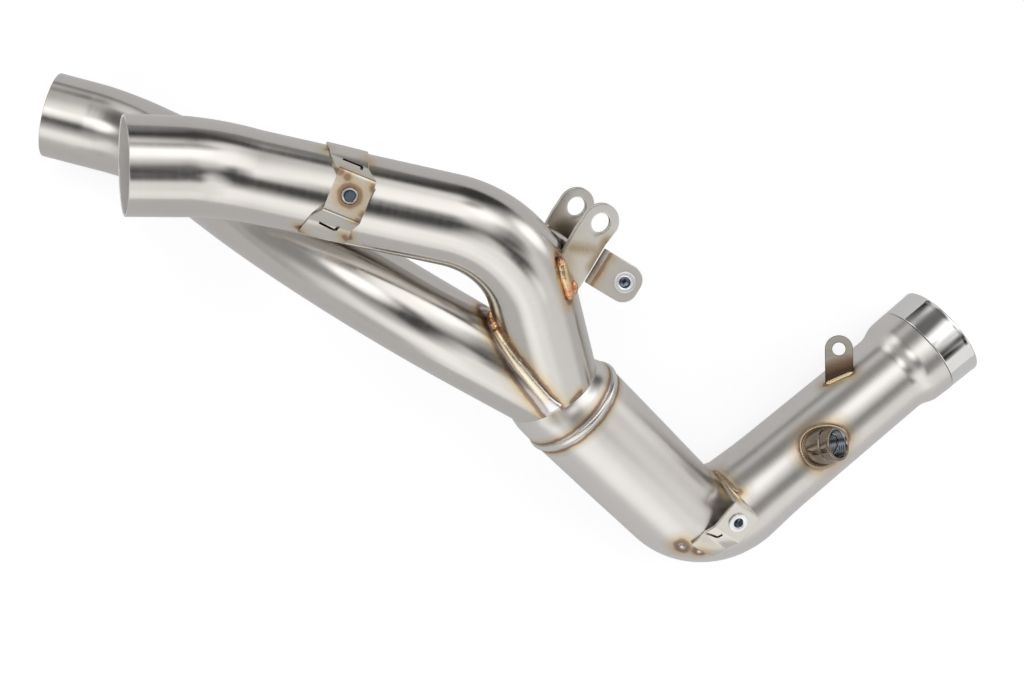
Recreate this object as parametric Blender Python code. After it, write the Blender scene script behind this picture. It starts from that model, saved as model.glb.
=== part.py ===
"""Two-into-one motorcycle exhaust link pipe of bent stainless tube, lying at rest.

Lengths are in metres and +Z is up.
"""

import math

import bmesh
import bpy
import numpy as np

# Tube sizes
HEADER_RADIUS = 0.0254
SOCKET_RADIUS = 0.0270
WALL = 0.0015
SOCKET_LENGTH = 0.046
NECK_LENGTH = 0.008
COLLECTOR_RADIUS = 0.0325
BODY_TAPER = ((0.060, 0.0322), (0.110, 0.0316), (0.150, 0.0309), (0.185, 0.0287), (0.245, 0.0280))
TUBE_SIDES = 32
TURN_STEP = math.radians(9.5)
SEAM_GAP = 0.0003

# Corners of the centre lines, and the bend radius at each inner corner
MERGE_POINT = (0.0306, -0.0506, 0.0870)
FRONT_CORNERS = ((-0.2072, 0.0697, 0.1740), (-0.1641, 0.0720, 0.1587), (0.0011, 0.0378, 0.1510), MERGE_POINT)
FRONT_BENDS = (0.090, 0.060)
REAR_CORNERS = ((-0.2883, 0.1290, 0.0300), (-0.2242, 0.1136, 0.0231), (-0.1037, 0.0212, 0.1336), MERGE_POINT)
REAR_BENDS = (0.096, 0.200)
MAIN_CORNERS = ((0.0315, -0.0497, 0.0870), (0.1268, -0.1367, 0.0292), (0.2856, -0.0072, 0.0326))
MAIN_BENDS = (0.038,)

# Collector collar, measured along the main centre line from the merge point
PIPE_END = 0.004
MOUTH_MIDDLE = -0.007
MOUTH_SLANT = 0.005
MOUTH_CLEARANCE = 0.0005
COLLAR_JOINT = 0.0105
JOINT_BEAD_RADIUS = 0.0013

# Main pipe and outlet, measured back from the rim
OUTLET_LENGTH = 0.0207
FLARE_START = 0.0412
FLARE_END = 0.0352
SEAM_RADIUS = 0.0314
FLARE_DROP = 0.0006
RIM_FLARE = 0.0005
NECKED_RADIUS = 0.0275
SPIGOT_LENGTH = 0.006

# Sheet brackets
SHEET = 0.0016
EAR_SHEET = 0.0025
EAR_HOLE_RADIUS = 0.0056
EAR_TOP_RADIUS = 0.0112
EAR_SPACING = 0.0365
NUT_FLANGE_RADIUS = 0.0060
NUT_BARREL_RADIUS = 0.0043
NUT_BORE_RADIUS = 0.0032
NUT_HOLE_RADIUS = 0.0047
FRONT_PLATE_LIFT = 0.0056

# Sensor boss
BOSS_STATION = 0.2215
BOSS_CLOCK = 7
BOSS_AXIS = (0.565, 0.150, 0.810)
BOSS_RADIUS = 0.0107
BOSS_BASE_RADIUS = 0.0113
BOSS_BASE_HEIGHT = 0.0032
BOSS_BORE_RADIUS = 0.0082
BOSS_HEIGHT = 0.0105
BOSS_BEAD_RADIUS = 0.0011

# Filler strip between the headers. It starts short of where they part and is measured back from the merge
STRIP_NARROW = 0.0019
STRIP_WIDE = 0.0036
STRIP_THICKNESS = 0.0020
STRIP_CROWN = 0.0005
STRIP_SHORT = 0.00321
STRIP_END = 0.0105
STRIP_DRIFT = 0.0022

UP = np.array((0.0, 0.0, 1.0))


def unit(vector):
    vector = np.asarray(vector, float)
    return vector / np.linalg.norm(vector)


class Route:
    """A tube's centre line: straights joined by circular bends."""

    def __init__(self, corners, bends, overrun=0.0):
        corners = [np.array(corner) for corner in corners]
        corners[-1] = corners[-1] + overrun * unit(corners[-1] - corners[-2])
        self.pieces = []
        self.length = 0.0
        here = corners[0]
        for before, corner, after, radius in zip(corners, corners[1:], corners[2:], bends):
            into, out = unit(corner - before), unit(after - corner)
            turn = math.acos(float(np.clip(into @ out, -1, 1)))
            reach = radius * math.tan(turn / 2)
            self.add(("straight", here, into), np.linalg.norm(corner - reach * into - here))
            inward = unit(out - into * (into @ out))
            centre = corner - reach * into + radius * inward
            self.add(("bend", centre, -inward, into, radius), radius * turn)
            here = corner + reach * out
        self.add(("straight", here, unit(corners[-1] - here)), np.linalg.norm(corners[-1] - here))

    def add(self, piece, length):
        self.pieces.append((self.length, length, piece))
        self.length += length

    def at(self, station):
        """Centre and direction at a distance along the line."""
        for start, length, piece in self.pieces:
            if station <= start + length or piece is self.pieces[-1][2]:
                break
        run = station - start
        if piece[0] == "straight":
            return piece[1] + run * piece[2], piece[2]
        _, centre, outward, onward, radius = piece
        angle = run / radius
        across = outward * math.cos(angle) + onward * math.sin(angle)
        return centre + radius * across, onward * math.cos(angle) - outward * math.sin(angle)

    def frame(self, station):
        """Centre, direction, the radial direction nearest up, and the third axis."""
        centre, along = self.at(station)
        top = unit(UP - along * along[2])
        return centre, along, top, np.cross(along, top)

    def radial(self, station, clock):
        _, _, top, side = self.frame(station)
        return math.cos(math.radians(clock)) * top + math.sin(math.radians(clock)) * side

    def surface(self, station, clock, radius):
        """The point at an angle from the top line, in degrees, and a distance off the centre line."""
        return self.at(station)[0] + radius * self.radial(station, clock)

    def stations(self, first, last, extra=()):
        """Ring positions: piece ends, even steps through bends, and any extra ones."""
        found = {first, last, *extra}
        for start, length, piece in self.pieces:
            count = 1
            if piece[0] == "bend":
                count = max(1, math.ceil(length / piece[4] / TURN_STEP))
            found.update(start + length * step / count for step in range(count + 1))
        kept = []
        for station in sorted(found):
            inside = first <= station <= last
            if inside and (not kept or station - kept[-1] > 0.001 or station in (last, *extra)):
                kept.append(station)
        return kept


def material(name, colour, metallic, roughness):
    made = bpy.data.materials.new(name)
    made.use_nodes = True
    shader = made.node_tree.nodes["Principled BSDF"]
    shader.inputs["Base Color"].default_value = (*colour, 1.0)
    shader.inputs["Metallic"].default_value = metallic
    shader.inputs["Roughness"].default_value = roughness
    return made


def build(name, points, faces, surface=None):
    """A mesh object with outward faces, smooth apart from its edges.

    Without a surface it is a hidden cutter.
    """
    mesh = bpy.data.meshes.new(name)
    mesh.from_pydata([tuple(point) for point in points], [], faces)
    shape = bmesh.new()
    shape.from_mesh(mesh)
    bmesh.ops.recalc_face_normals(shape, faces=shape.faces)
    shape.to_mesh(mesh)
    shape.free()
    mesh.shade_smooth()
    mesh.set_sharp_from_angle(angle=math.radians(35))
    obj = bpy.data.objects.new(name, mesh)
    bpy.context.scene.collection.objects.link(obj)
    if surface is None:
        obj.hide_render = True
        obj.display_type = "WIRE"
    else:
        mesh.materials.append(surface)
    return obj


def boolean(obj, other, operation="DIFFERENCE"):
    modifier = obj.modifiers.new(other.name, "BOOLEAN")
    modifier.operation = operation
    modifier.solver = "EXACT"
    modifier.object = other


def hoops(rows, closed):
    """Points and faces of a skin through equal rings. A closed skin's last ring joins its first."""
    rows = np.asarray(rows, float)
    count, sides = rows.shape[:2]
    faces = []
    for row in range(count if closed else count - 1):
        a, b = row * sides, (row + 1) % count * sides
        faces += [(a + k, a + (k + 1) % sides, b + (k + 1) % sides, b + k) for k in range(sides)]
    if not closed:
        faces += [tuple(range(sides)), tuple(range((count - 1) * sides, count * sides))]
    return rows.reshape(-1, 3), faces


def ring_of(route, station, radius, sides=TUBE_SIDES):
    return [route.surface(station, 360 * k / sides, radius) for k in range(sides)]


def pipe(name, route, knots, surface, first=0.0, last=None):
    """A hollow tube. Knots are (station, outer radius) pairs."""
    last = route.length if last is None else last
    places = route.stations(first, last, [place for place, _ in knots if first < place < last])
    outer = np.interp(places, *zip(*knots))
    rows = [ring_of(route, place, radius) for place, radius in zip(places, outer)]
    inner = list(zip(places, outer - WALL))
    rows += [ring_of(route, place, radius) for place, radius in reversed(inner)]
    return build(name, *hoops(rows, closed=True), surface)


def pipe_room(name, route, knots):
    """The tube's outside plus a clear gap, as a cutter."""
    places = route.stations(0.0, route.length, [place for place, _ in knots if 0 < place < route.length])
    outer = np.interp(places, *zip(*knots)) + SEAM_GAP
    rows = [ring_of(route, place, radius) for place, radius in zip(places, outer)]
    return build(name, *hoops(rows, closed=False))


def half_space(name, point, outward, size=0.150):
    """A block covering one side of a plane near a point, as a cutter."""
    outward = unit(outward)
    side = unit(np.cross(outward, (0.31, 0.52, 0.80)))
    third = np.cross(outward, side)
    square = [(-1, -1), (1, -1), (1, 1), (-1, 1)]
    rows = [
        [point + depth * outward + size / 2 * (a * side + b * third) for a, b in square]
        for depth in (0.0, size * 0.4)
    ]
    return build(name, *hoops(rows, closed=False))


def turned(name, base, axis, profile, surface=None, sides=24):
    """A solid of revolution. The profile is (radius, height) pairs round a closed outline off the axis."""
    axis = unit(axis)
    side = unit(np.cross(axis, (0.31, 0.52, 0.80)))
    third = np.cross(axis, side)
    rows = [
        [
            base + height * axis + radius * (math.cos(turn) * side + math.sin(turn) * third)
            for turn in (2 * math.pi * k / sides for k in range(sides))
        ]
        for radius, height in profile
    ]
    return build(name, *hoops(rows, closed=True), surface)


def peg(name, base, axis, radius, low, high, sides=24):
    """A plain cylinder along an axis, as a cutter."""
    axis = unit(axis)
    side = unit(np.cross(axis, (0.31, 0.52, 0.80)))
    third = np.cross(axis, side)
    turns = [2 * math.pi * k / sides for k in range(sides)]
    rows = [
        [base + height * axis + radius * (math.cos(turn) * side + math.sin(turn) * third) for turn in turns]
        for height in (low, high)
    ]
    return build(name, *hoops(rows, closed=False))


def plate(name, outline, base, across, upward, facing, low, high, surface=None):
    """A flat outline of (across, upward) pairs, thickened from low to high along the facing direction."""
    rows = [[base + a * across + b * upward + depth * facing for a, b in outline] for depth in (low, high)]
    return build(name, *hoops(rows, closed=False), surface)


def slab(name, bottom, top, surface):
    """A sheet between two equal grids of points."""
    bottom, top = np.asarray(bottom, float), np.asarray(top, float)
    rows, columns = bottom.shape[:2]
    under = np.arange(rows * columns).reshape(rows, columns)
    over = under + rows * columns
    faces = []
    for grid in (under, over):
        faces += [
            (grid[r, c], grid[r, c + 1], grid[r + 1, c + 1], grid[r + 1, c])
            for r in range(rows - 1)
            for c in range(columns - 1)
        ]
    border = [(0, c) for c in range(columns)] + [(r, columns - 1) for r in range(1, rows)]
    border += [(rows - 1, c) for c in range(columns - 2, -1, -1)] + [(r, 0) for r in range(rows - 2, 0, -1)]
    for first, second in zip(border, border[1:] + border[:1]):
        faces.append((under[first], under[second], over[second], over[first]))
    points = np.concatenate([bottom.reshape(-1, 3), top.reshape(-1, 3)])
    return build(name, points, [tuple(int(i) for i in face) for face in faces], surface)


def bead(name, path, radius, surface, closed=False, sides=8, flat=1.0, lift=None):
    """A weld bead: a round section carried along points, drawn in at open ends."""
    path = np.asarray(path, float)
    count = len(path)
    rows = []
    for k in range(count):
        before = path[(k - 1) % count] if closed or k else path[k]
        after = path[(k + 1) % count] if closed or k < count - 1 else path[k]
        along = unit(after - before)
        outward = UP if lift is None else lift[k]
        up = unit(outward - along * (along @ outward))
        side = np.cross(along, up)
        size = radius * (0.45 if not closed and k in (0, count - 1) else 1.0)
        turns = [2 * math.pi * j / sides for j in range(sides)]
        rows.append([path[k] + size * (flat * math.cos(t) * up + math.sin(t) * side) for t in turns])
    return build(name, *hoops(rows, closed), surface)


def joined(rows_a, rows_b, count):
    """Points spread evenly from one point to another."""
    return [rows_a + (rows_b - rows_a) * k / (count - 1) for k in range(count)]


bpy.context.scene.unit_settings.system = "METRIC"
for leftover in list(bpy.data.objects):
    bpy.data.objects.remove(leftover, do_unlink=True)

BRUSHED = material("brushed_stainless", (0.62, 0.60, 0.57), 1.0, 0.32)
SHEET_STEEL = material("bracket_stainless", (0.55, 0.52, 0.47), 1.0, 0.40)
POLISHED = material("polished_stainless", (0.80, 0.79, 0.77), 1.0, 0.12)
WELD = material("tinted_weld", (0.62, 0.42, 0.24), 1.0, 0.35)
ZINC = material("zinc_plate", (0.82, 0.84, 0.86), 1.0, 0.28)
TURNED = material("turned_stainless", (0.60, 0.57, 0.53), 1.0, 0.25)

front = Route(FRONT_CORNERS, FRONT_BENDS, overrun=0.012)
rear = Route(REAR_CORNERS, REAR_BENDS, overrun=0.012)
main = Route(MAIN_CORNERS, MAIN_BENDS)

# Directions at the merge: along the main tube, between the two headers, and square to both headers
merge = np.array(MERGE_POINT)
main_start = np.array(MAIN_CORNERS[0])
main_along = main.at(0.0)[1]
front_along = front.at(front.length)[1]
rear_along = rear.at(rear.length)[1]
parting = unit(rear_along - front_along)
middle = unit(front_along + rear_along)
facing = unit(np.cross(front_along, rear_along))

# Header pipes, parted along the plane between them and cut square inside the collar
header_knots = (
    (0.0, SOCKET_RADIUS),
    (SOCKET_LENGTH, SOCKET_RADIUS),
    (SOCKET_LENGTH + NECK_LENGTH, HEADER_RADIUS),
)
beyond_end = half_space("beyond_pipe_end", merge + PIPE_END * main_along, main_along)
for name, route, toward in (("front_inlet_pipe", front, -parting), ("rear_inlet_pipe", rear, parting)):
    header = pipe(name, route, header_knots, BRUSHED)
    other_side = half_space(name + "_parting", merge - SEAM_GAP / 2 * toward, toward)
    boolean(header, other_side)
    boolean(header, beyond_end)

# Collector collar: slanted oval mouth, round at the joint
joint_room = JOINT_BEAD_RADIUS + SEAM_GAP
collar_across = unit(parting - main_along * (parting @ main_along))
collar_up = np.cross(main_along, collar_across)


def header_reach(start, direction):
    """How far out along a direction the outside of the two joined headers lies."""
    reach = 0.0
    for axis in (front_along, rear_along):
        offset = (start - merge) - axis * ((start - merge) @ axis)
        across = direction - axis * (direction @ axis)
        a, b, c = across @ across, offset @ across, offset @ offset - HEADER_RADIUS**2
        reach = max(reach, (-b + math.sqrt(b * b - a * c)) / a)
    return reach


def collar_rows(thinner):
    """Rings from the mouth, which hugs the headers, to the round joint."""
    rows = []
    for step in range(6):
        share = step / 5
        ease = share * share * (3 - 2 * share)
        ring = []
        for k in range(TUBE_SIDES):
            turn = 2 * math.pi * k / TUBE_SIDES
            spoke = math.cos(turn) * collar_across + math.sin(turn) * collar_up
            mouth = MOUTH_MIDDLE + MOUTH_SLANT * math.cos(turn)
            start = main_start + mouth * main_along
            snug = header_reach(start, spoke) + MOUTH_CLEARANCE + WALL
            radius = snug + (COLLECTOR_RADIUS - snug) * ease - thinner
            along = mouth + (COLLAR_JOINT - joint_room - mouth) * share
            ring.append(main_start + along * main_along + radius * spoke)
        rows.append(ring)
    return rows


build("collector_collar", *hoops(collar_rows(0.0) + collar_rows(WALL)[::-1], closed=True), BRUSHED)

# Main pipe with its flared end, and the sleeve let into the flare
rim = main.length
flare_seam = rim - OUTLET_LENGTH
main_knots = (
    (COLLAR_JOINT, COLLECTOR_RADIUS),
    *BODY_TAPER,
    (rim - FLARE_START, NECKED_RADIUS),
    (rim - FLARE_END, SEAM_RADIUS - FLARE_DROP),
    (flare_seam, SEAM_RADIUS),
)


def body_radius(station):
    return float(np.interp(station, *zip(*main_knots)))


def header_radius(station):
    return HEADER_RADIUS


main_pipe = pipe("main_pipe", main, main_knots, BRUSHED, COLLAR_JOINT + joint_room, flare_seam)
main_room = pipe_room("main_pipe_room", main, main_knots)
front_room = pipe_room("front_pipe_room", front, header_knots)

seam_point, outlet_along = main.at(flare_seam)
spigot_radius = SEAM_RADIUS - WALL - SEAM_GAP - 0.0008
rim_radius = SEAM_RADIUS + RIM_FLARE
turned(
    "outlet_sleeve",
    seam_point,
    outlet_along,
    (
        (SEAM_RADIUS - 0.0002, SEAM_GAP),
        (rim_radius - 0.0004, OUTLET_LENGTH - 0.003),
        (rim_radius, OUTLET_LENGTH - 0.0007),
        (rim_radius - 0.0006, OUTLET_LENGTH),
        (rim_radius - 0.0015, OUTLET_LENGTH),
        (spigot_radius - 0.0010, OUTLET_LENGTH - 0.004),
        (spigot_radius - 0.0010, -SPIGOT_LENGTH),
        (spigot_radius, -SPIGOT_LENGTH),
        (spigot_radius, SEAM_GAP),
    ),
    POLISHED,
    TUBE_SIDES,
)

# Raised bead filling the joint between collar and main pipe
bead(
    "collar_joint_bead",
    ring_of(main, COLLAR_JOINT, COLLECTOR_RADIUS - 0.3 * JOINT_BEAD_RADIUS, 36),
    JOINT_BEAD_RADIUS,
    WELD,
    closed=True,
)

# Filler strip lying in the valley between the headers
half_angle = math.acos(float(np.clip(front_along @ rear_along, -1, 1))) / 2
strip_start = HEADER_RADIUS / math.sin(half_angle) - STRIP_SHORT
strip_under, strip_over = [], []
for back in np.linspace(strip_start, STRIP_END, 9):
    share = (strip_start - back) / (strip_start - STRIP_END)
    drift = STRIP_DRIFT * share
    half_width = STRIP_NARROW + (STRIP_WIDE - STRIP_NARROW) * share
    depth = back * math.sin(half_angle) - (half_width + drift) * math.cos(half_angle)
    height = math.sqrt(HEADER_RADIUS**2 - depth**2) + 0.0004
    under = merge - back * middle + height * facing + drift * parting
    strip_under.append([under + side * half_width * parting for side in (-1, 0, 1)])
    strip_over.append(
        [
            under
            + 0.8 * side * half_width * parting
            + (STRIP_THICKNESS + (1 - abs(side)) * STRIP_CROWN) * facing
            for side in (-1, 0, 1)
        ]
    )
slab("merge_spine_strip", strip_under, strip_over, WELD)


# Saddle brackets: a raised plate on two legs whose feet follow the tube
def saddle(name, route, radius_at, feet_a, feet_b, centre, along, across, length, width, columns=4):
    """Each foot is two (station, station, clock) rows, outer then inner, at the plate's two sides."""
    along = unit(along)
    across = unit(np.asarray(across) - along * (along @ np.asarray(across)))
    outward = unit(np.cross(along, across))
    outward = outward if outward[2] > 0 else -outward
    centre = np.asarray(centre)
    under, over = [], []

    def foot(rows):
        (left_a, right_a, clocks_a), (left_b, right_b, clocks_b) = rows
        steps = max(2, math.ceil(max(abs(np.subtract(clocks_b, clocks_a))) / 9) + 1)
        for share in np.linspace(0, 1, steps):
            low, high = [], []
            for part in np.linspace(0, 1, columns):
                station = (1 - share) * (left_a + (right_a - left_a) * part) + share * (
                    left_b + (right_b - left_b) * part
                )
                clock_left = clocks_a[0] + (clocks_b[0] - clocks_a[0]) * share
                clock_right = clocks_a[1] + (clocks_b[1] - clocks_a[1]) * share
                clock = clock_left + (clock_right - clock_left) * part
                radius = radius_at(station) + 0.0004
                low.append(route.surface(station, clock, radius))
                high.append(route.surface(station, clock, radius + SHEET))
            under.append(low)
            over.append(high)

    foot(feet_a)
    for sign in (-1, 1):
        edge = centre + sign * width / 2 * across
        high = joined(edge - length / 2 * along, edge + length / 2 * along, columns)
        over.append(high)
        under.append([point - SHEET * outward - sign * 0.0008 * across for point in high])
    foot(tuple(reversed(feet_b)))
    return slab(name, under, over, SHEET_STEEL), outward


def sunk_nut(name, face, outward):
    """A nut welded under a plate, its barrel standing up through the hole."""
    under = -SHEET - SEAM_GAP
    return turned(
        name,
        face,
        outward,
        (
            (NUT_BORE_RADIUS, 0.0004),
            (NUT_BARREL_RADIUS, 0.0004),
            (NUT_BARREL_RADIUS, under),
            (NUT_FLANGE_RADIUS, under),
            (NUT_FLANGE_RADIUS, under - 0.0014),
            (NUT_BORE_RADIUS, under - 0.0014),
        ),
        ZINC,
        16,
    )


def weld_nut(name, face, outward, depth):
    """A flanged nut sitting on a plate's outer face, its barrel passing through."""
    lift = SEAM_GAP + 0.0012
    return turned(
        name,
        face,
        outward,
        (
            (NUT_BORE_RADIUS, lift),
            (NUT_FLANGE_RADIUS, lift),
            (NUT_FLANGE_RADIUS, SEAM_GAP),
            (NUT_BARREL_RADIUS, SEAM_GAP),
            (NUT_BARREL_RADIUS, -depth),
            (NUT_BORE_RADIUS, -depth),
        ),
        ZINC,
        16,
    )


FRONT_PLATE_STATION = 0.1226
front_centre, front_dir, _, _ = front.frame(FRONT_PLATE_STATION)
front_out = front.radial(FRONT_PLATE_STATION, 5)
front_side = np.cross(front_dir, front_out)
plate_turn = math.radians(10)
front_plate_along = math.cos(plate_turn) * front_dir + math.sin(plate_turn) * front_side
front_plate_across = math.cos(plate_turn) * front_side - math.sin(plate_turn) * front_dir
front_plate_centre = front_centre + (HEADER_RADIUS + FRONT_PLATE_LIFT) * front_out + 0.0008 * front_side
saddle_plate, saddle_out = saddle(
    "front_saddle_bracket",
    front,
    header_radius,
    ((0.103, 0.126, (-72, -66)), (0.108, 0.129, (-38, -30))),
    ((0.0985, 0.1245, (68, 74)), (0.1035, 0.127, (42, 46))),
    front_plate_centre,
    front_plate_along,
    front_plate_across,
    0.0205,
    0.0240,
)
nut_hole = peg("front_nut_hole", front_plate_centre, saddle_out, NUT_HOLE_RADIUS, -0.004, 0.004, 16)
boolean(saddle_plate, nut_hole)
sunk_nut("front_saddle_nut", front_plate_centre, saddle_out)

bend_plate_centre = np.array((0.1420, -0.1278, 0.0687))
bend_plate_along = unit((0.772, -0.500, -0.389))
bend_plate_across = np.array((-0.456, -0.826, -0.240))
bend_plate, bend_out = saddle(
    "bend_saddle_bracket",
    main,
    body_radius,
    ((0.136, 0.1555, (-51, -8)), (0.139, 0.1575, (-46, -4))),
    ((0.118, 0.1325, (31, 49)), (0.1205, 0.138, (14, 38))),
    bend_plate_centre,
    bend_plate_along,
    bend_plate_across,
    0.0215,
    0.0198,
    6,
)
bend_hole = peg("bend_nut_hole", bend_plate_centre, bend_out, NUT_HOLE_RADIUS, -0.004, 0.004, 16)
boolean(bend_plate, bend_hole)
weld_nut("bend_saddle_nut", bend_plate_centre, bend_out, 0.0050)

# Two-eared hanger: ears square to the hole line, joined by a base over the pipe
ear_facing = unit((0.277, -0.391, 0.879))
ear_lean = np.array((0.375, 0.912, 0.169))
ear_up = unit(ear_lean - ear_facing * (ear_facing @ ear_lean))
ear_across = np.cross(ear_up, ear_facing)
ear_hole = np.array((0.0480, 0.0445, 0.1507))
ear_turns = [math.radians(a) for a in range(0, 181, 18)]
ear_outline = [(EAR_TOP_RADIUS * math.cos(a), EAR_TOP_RADIUS * math.sin(a)) for a in ear_turns]
ear_outline += [(-0.0126, -0.0080), (-0.0138, -0.0270), (0.0015, -0.0475)]
ear_outline += [(0.0050, -0.0415), (0.0062, -0.0330), (0.0086, -0.0105)]
hanger = plate(
    "hanger_bracket", ear_outline, ear_hole, ear_across, ear_up, ear_facing, -EAR_SHEET, 0.0, SHEET_STEEL
)
far_ear = plate(
    "far_ear", ear_outline, ear_hole, ear_across, ear_up, ear_facing, -EAR_SPACING - EAR_SHEET, -EAR_SPACING
)
base_outline = [(-0.0118, -0.0175), (0.0042, -0.0357), (0.0060, -0.0341), (-0.0100, -0.0159)]
ear_base = plate(
    "ear_base", base_outline, ear_hole, ear_across, ear_up, ear_facing, -EAR_SPACING - 0.0010, -0.0010
)
ear_bore = peg("ear_bore", ear_hole, ear_facing, EAR_HOLE_RADIUS, -EAR_SPACING - 0.010, 0.010)
boolean(hanger, far_ear, "UNION")
boolean(hanger, ear_base, "UNION")
boolean(hanger, ear_bore)
boolean(hanger, front_room)

# Nut tab on the near ear's edge: a joggled strip, then a plate with a rounded end
tab_start = ear_hole + 0.0089 * ear_across - 0.0115 * ear_up
tab_finish = ear_hole + 0.0063 * ear_across - 0.0345 * ear_up
tab_fold = unit(tab_finish - tab_start)
tab_facing = unit(UP - tab_fold * tab_fold[2])
tab_out = np.cross(tab_fold, tab_facing)
tab_out = tab_out if tab_out[0] > 0 else -tab_out
tab_middle = (tab_start + tab_finish) / 2
TAB_HALF_WIDTH = 0.0109
TAB_REACH = 0.0286
TAB_CORNER = 0.0085
corner_turns = [math.radians(a) for a in range(0, 91, 18)]
tab_outline = [(0.0036, -TAB_HALF_WIDTH)]
tab_outline += [
    (
        TAB_REACH - TAB_CORNER + TAB_CORNER * math.sin(a),
        -TAB_HALF_WIDTH + TAB_CORNER - TAB_CORNER * math.cos(a),
    )
    for a in corner_turns
]
tab_outline += [
    (
        TAB_REACH - TAB_CORNER + TAB_CORNER * math.cos(a),
        TAB_HALF_WIDTH - TAB_CORNER + TAB_CORNER * math.sin(a),
    )
    for a in corner_turns
]
tab_outline += [(0.0036, TAB_HALF_WIDTH)]
nut_tab = plate(
    "nut_tab", tab_outline, tab_middle, tab_out, tab_fold, tab_facing, -0.0004, 0.0016, SHEET_STEEL
)
joggle_outline = [(0.0002, -0.0030), (0.0024, -0.0034), (0.0056, -0.0003)]
joggle_outline += [(0.0056, 0.0015), (0.0036, 0.0016), (0.0002, -0.0012)]
joggle = plate(
    "tab_joggle", joggle_outline, tab_middle, tab_out, tab_facing, tab_fold, -TAB_HALF_WIDTH, TAB_HALF_WIDTH
)
boolean(nut_tab, joggle, "UNION")
tab_nut_face = tab_middle + 0.0195 * tab_out - 0.0006 * tab_fold + 0.0016 * tab_facing
tab_nut_hole = peg("tab_nut_hole", tab_nut_face, tab_facing, NUT_HOLE_RADIUS, -0.008, 0.004, 16)
boolean(nut_tab, tab_nut_hole)
weld_nut("nut_tab_nut", tab_nut_face, tab_facing, 0.0050)

# Small round-topped tab on the outlet tube
small_facing = unit((-0.30, -0.03, 0.954))
small_up = unit(np.array((0.0, 1.0, 0.0)) - small_facing * small_facing[1])
small_across = np.cross(small_up, small_facing)
small_hole = np.array((0.2130, -0.0200, 0.0480))
SMALL_HALF_WIDTH = 0.0087
small_outline = [(SMALL_HALF_WIDTH * math.cos(a), SMALL_HALF_WIDTH * math.sin(a)) for a in ear_turns]
small_outline += [(-SMALL_HALF_WIDTH, -0.0230), (SMALL_HALF_WIDTH, -0.0230)]
small_tab = plate(
    "outlet_tab",
    small_outline,
    small_hole,
    small_across,
    small_up,
    small_facing,
    -0.0010,
    0.0010,
    SHEET_STEEL,
)
small_bore = peg("small_tab_bore", small_hole, small_facing, 0.0041, -0.004, 0.004, 16)
boolean(small_tab, small_bore)
boolean(small_tab, main_room)

# Sensor boss leaning toward the outlet, its bore opening into the tube
boss_axis = unit(BOSS_AXIS)
boss_foot = main.surface(BOSS_STATION, BOSS_CLOCK, body_radius(BOSS_STATION))
boss = turned(
    "sensor_boss",
    boss_foot,
    boss_axis,
    (
        (BOSS_BORE_RADIUS + 0.0008, BOSS_HEIGHT),
        (BOSS_RADIUS - 0.0006, BOSS_HEIGHT),
        (BOSS_RADIUS, BOSS_HEIGHT - 0.0010),
        (BOSS_RADIUS, BOSS_BASE_HEIGHT + 0.0010),
        (BOSS_BASE_RADIUS, BOSS_BASE_HEIGHT),
        (BOSS_BASE_RADIUS, -0.0120),
        (BOSS_BORE_RADIUS, -0.0120),
        (BOSS_BORE_RADIUS, BOSS_HEIGHT - 0.0010),
    ),
    TURNED,
)
boolean(boss, main_room)
boss_bore = peg("boss_bore", boss_foot, boss_axis, BOSS_BORE_RADIUS, -0.022, 0.012)
boolean(main_pipe, boss_bore)


def foot_on_main(point, direction, gap):
    """Slides a point down a direction until it stands a gap above the main tube."""
    low, high = -0.03, 0.03
    stations = np.linspace(BOSS_STATION - 0.03, BOSS_STATION + 0.03, 61)
    centres = np.array([main.at(station)[0] for station in stations])
    radii = np.array([body_radius(station) for station in stations])
    for _ in range(30):
        reach = (low + high) / 2
        spot = point - reach * direction
        clear = (np.sqrt(((centres - spot) ** 2).sum(axis=1)) - radii).min() - gap
        low, high = (reach, high) if clear > 0 else (low, reach)
    return point - low * direction


boss_side = unit(np.cross(boss_axis, UP))
boss_third = np.cross(boss_axis, boss_side)
around = BOSS_BASE_RADIUS + 0.0004 + BOSS_BEAD_RADIUS
boss_path = [
    foot_on_main(
        boss_foot + 0.012 * boss_axis + around * (math.cos(t) * boss_side + math.sin(t) * boss_third),
        boss_axis,
        BOSS_BEAD_RADIUS + 0.0004,
    )
    for t in (2 * math.pi * k / 28 for k in range(28))
]
bead("sensor_boss_weld", boss_path, BOSS_BEAD_RADIUS, WELD, closed=True, lift=[boss_axis] * 28)


# Weld beads at the bracket feet
def bead_on(name, route, radius_at, ends, radius, count=7, flat=0.8):
    """A bead lying on a tube between two (station, clock) places."""
    path, lift = [], []
    for share in np.linspace(0, 1, count):
        station = ends[0][0] + (ends[1][0] - ends[0][0]) * share
        clock = ends[0][1] + (ends[1][1] - ends[0][1]) * share
        path.append(route.surface(station, clock, radius_at(station) + 0.0004 + radius * flat))
        lift.append(route.radial(station, clock))
    return bead(name, path, radius, WELD, flat=flat, lift=lift)


def foot_bead(name, route, radius_at, span, face_point, face_normal, radius, flat=0.8, count=7):
    """A bead on a tube that follows the foot of a plate's front face between two stations."""
    path, lift = [], []
    clocks = np.linspace(-100.0, 20.0, 961)
    for station in np.linspace(*span, count):
        centre = route.at(station)[0]
        reach = radius_at(station) + 0.0004 + radius * flat
        spots = np.array([centre + reach * route.radial(station, clock) for clock in clocks])
        clear = (spots - face_point) @ face_normal > radius + 0.0004
        place = int(np.argmax(clear))
        path.append(spots[place])
        lift.append(route.radial(station, clocks[place]))
    return bead(name, path, radius, WELD, flat=flat, lift=lift)


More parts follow.
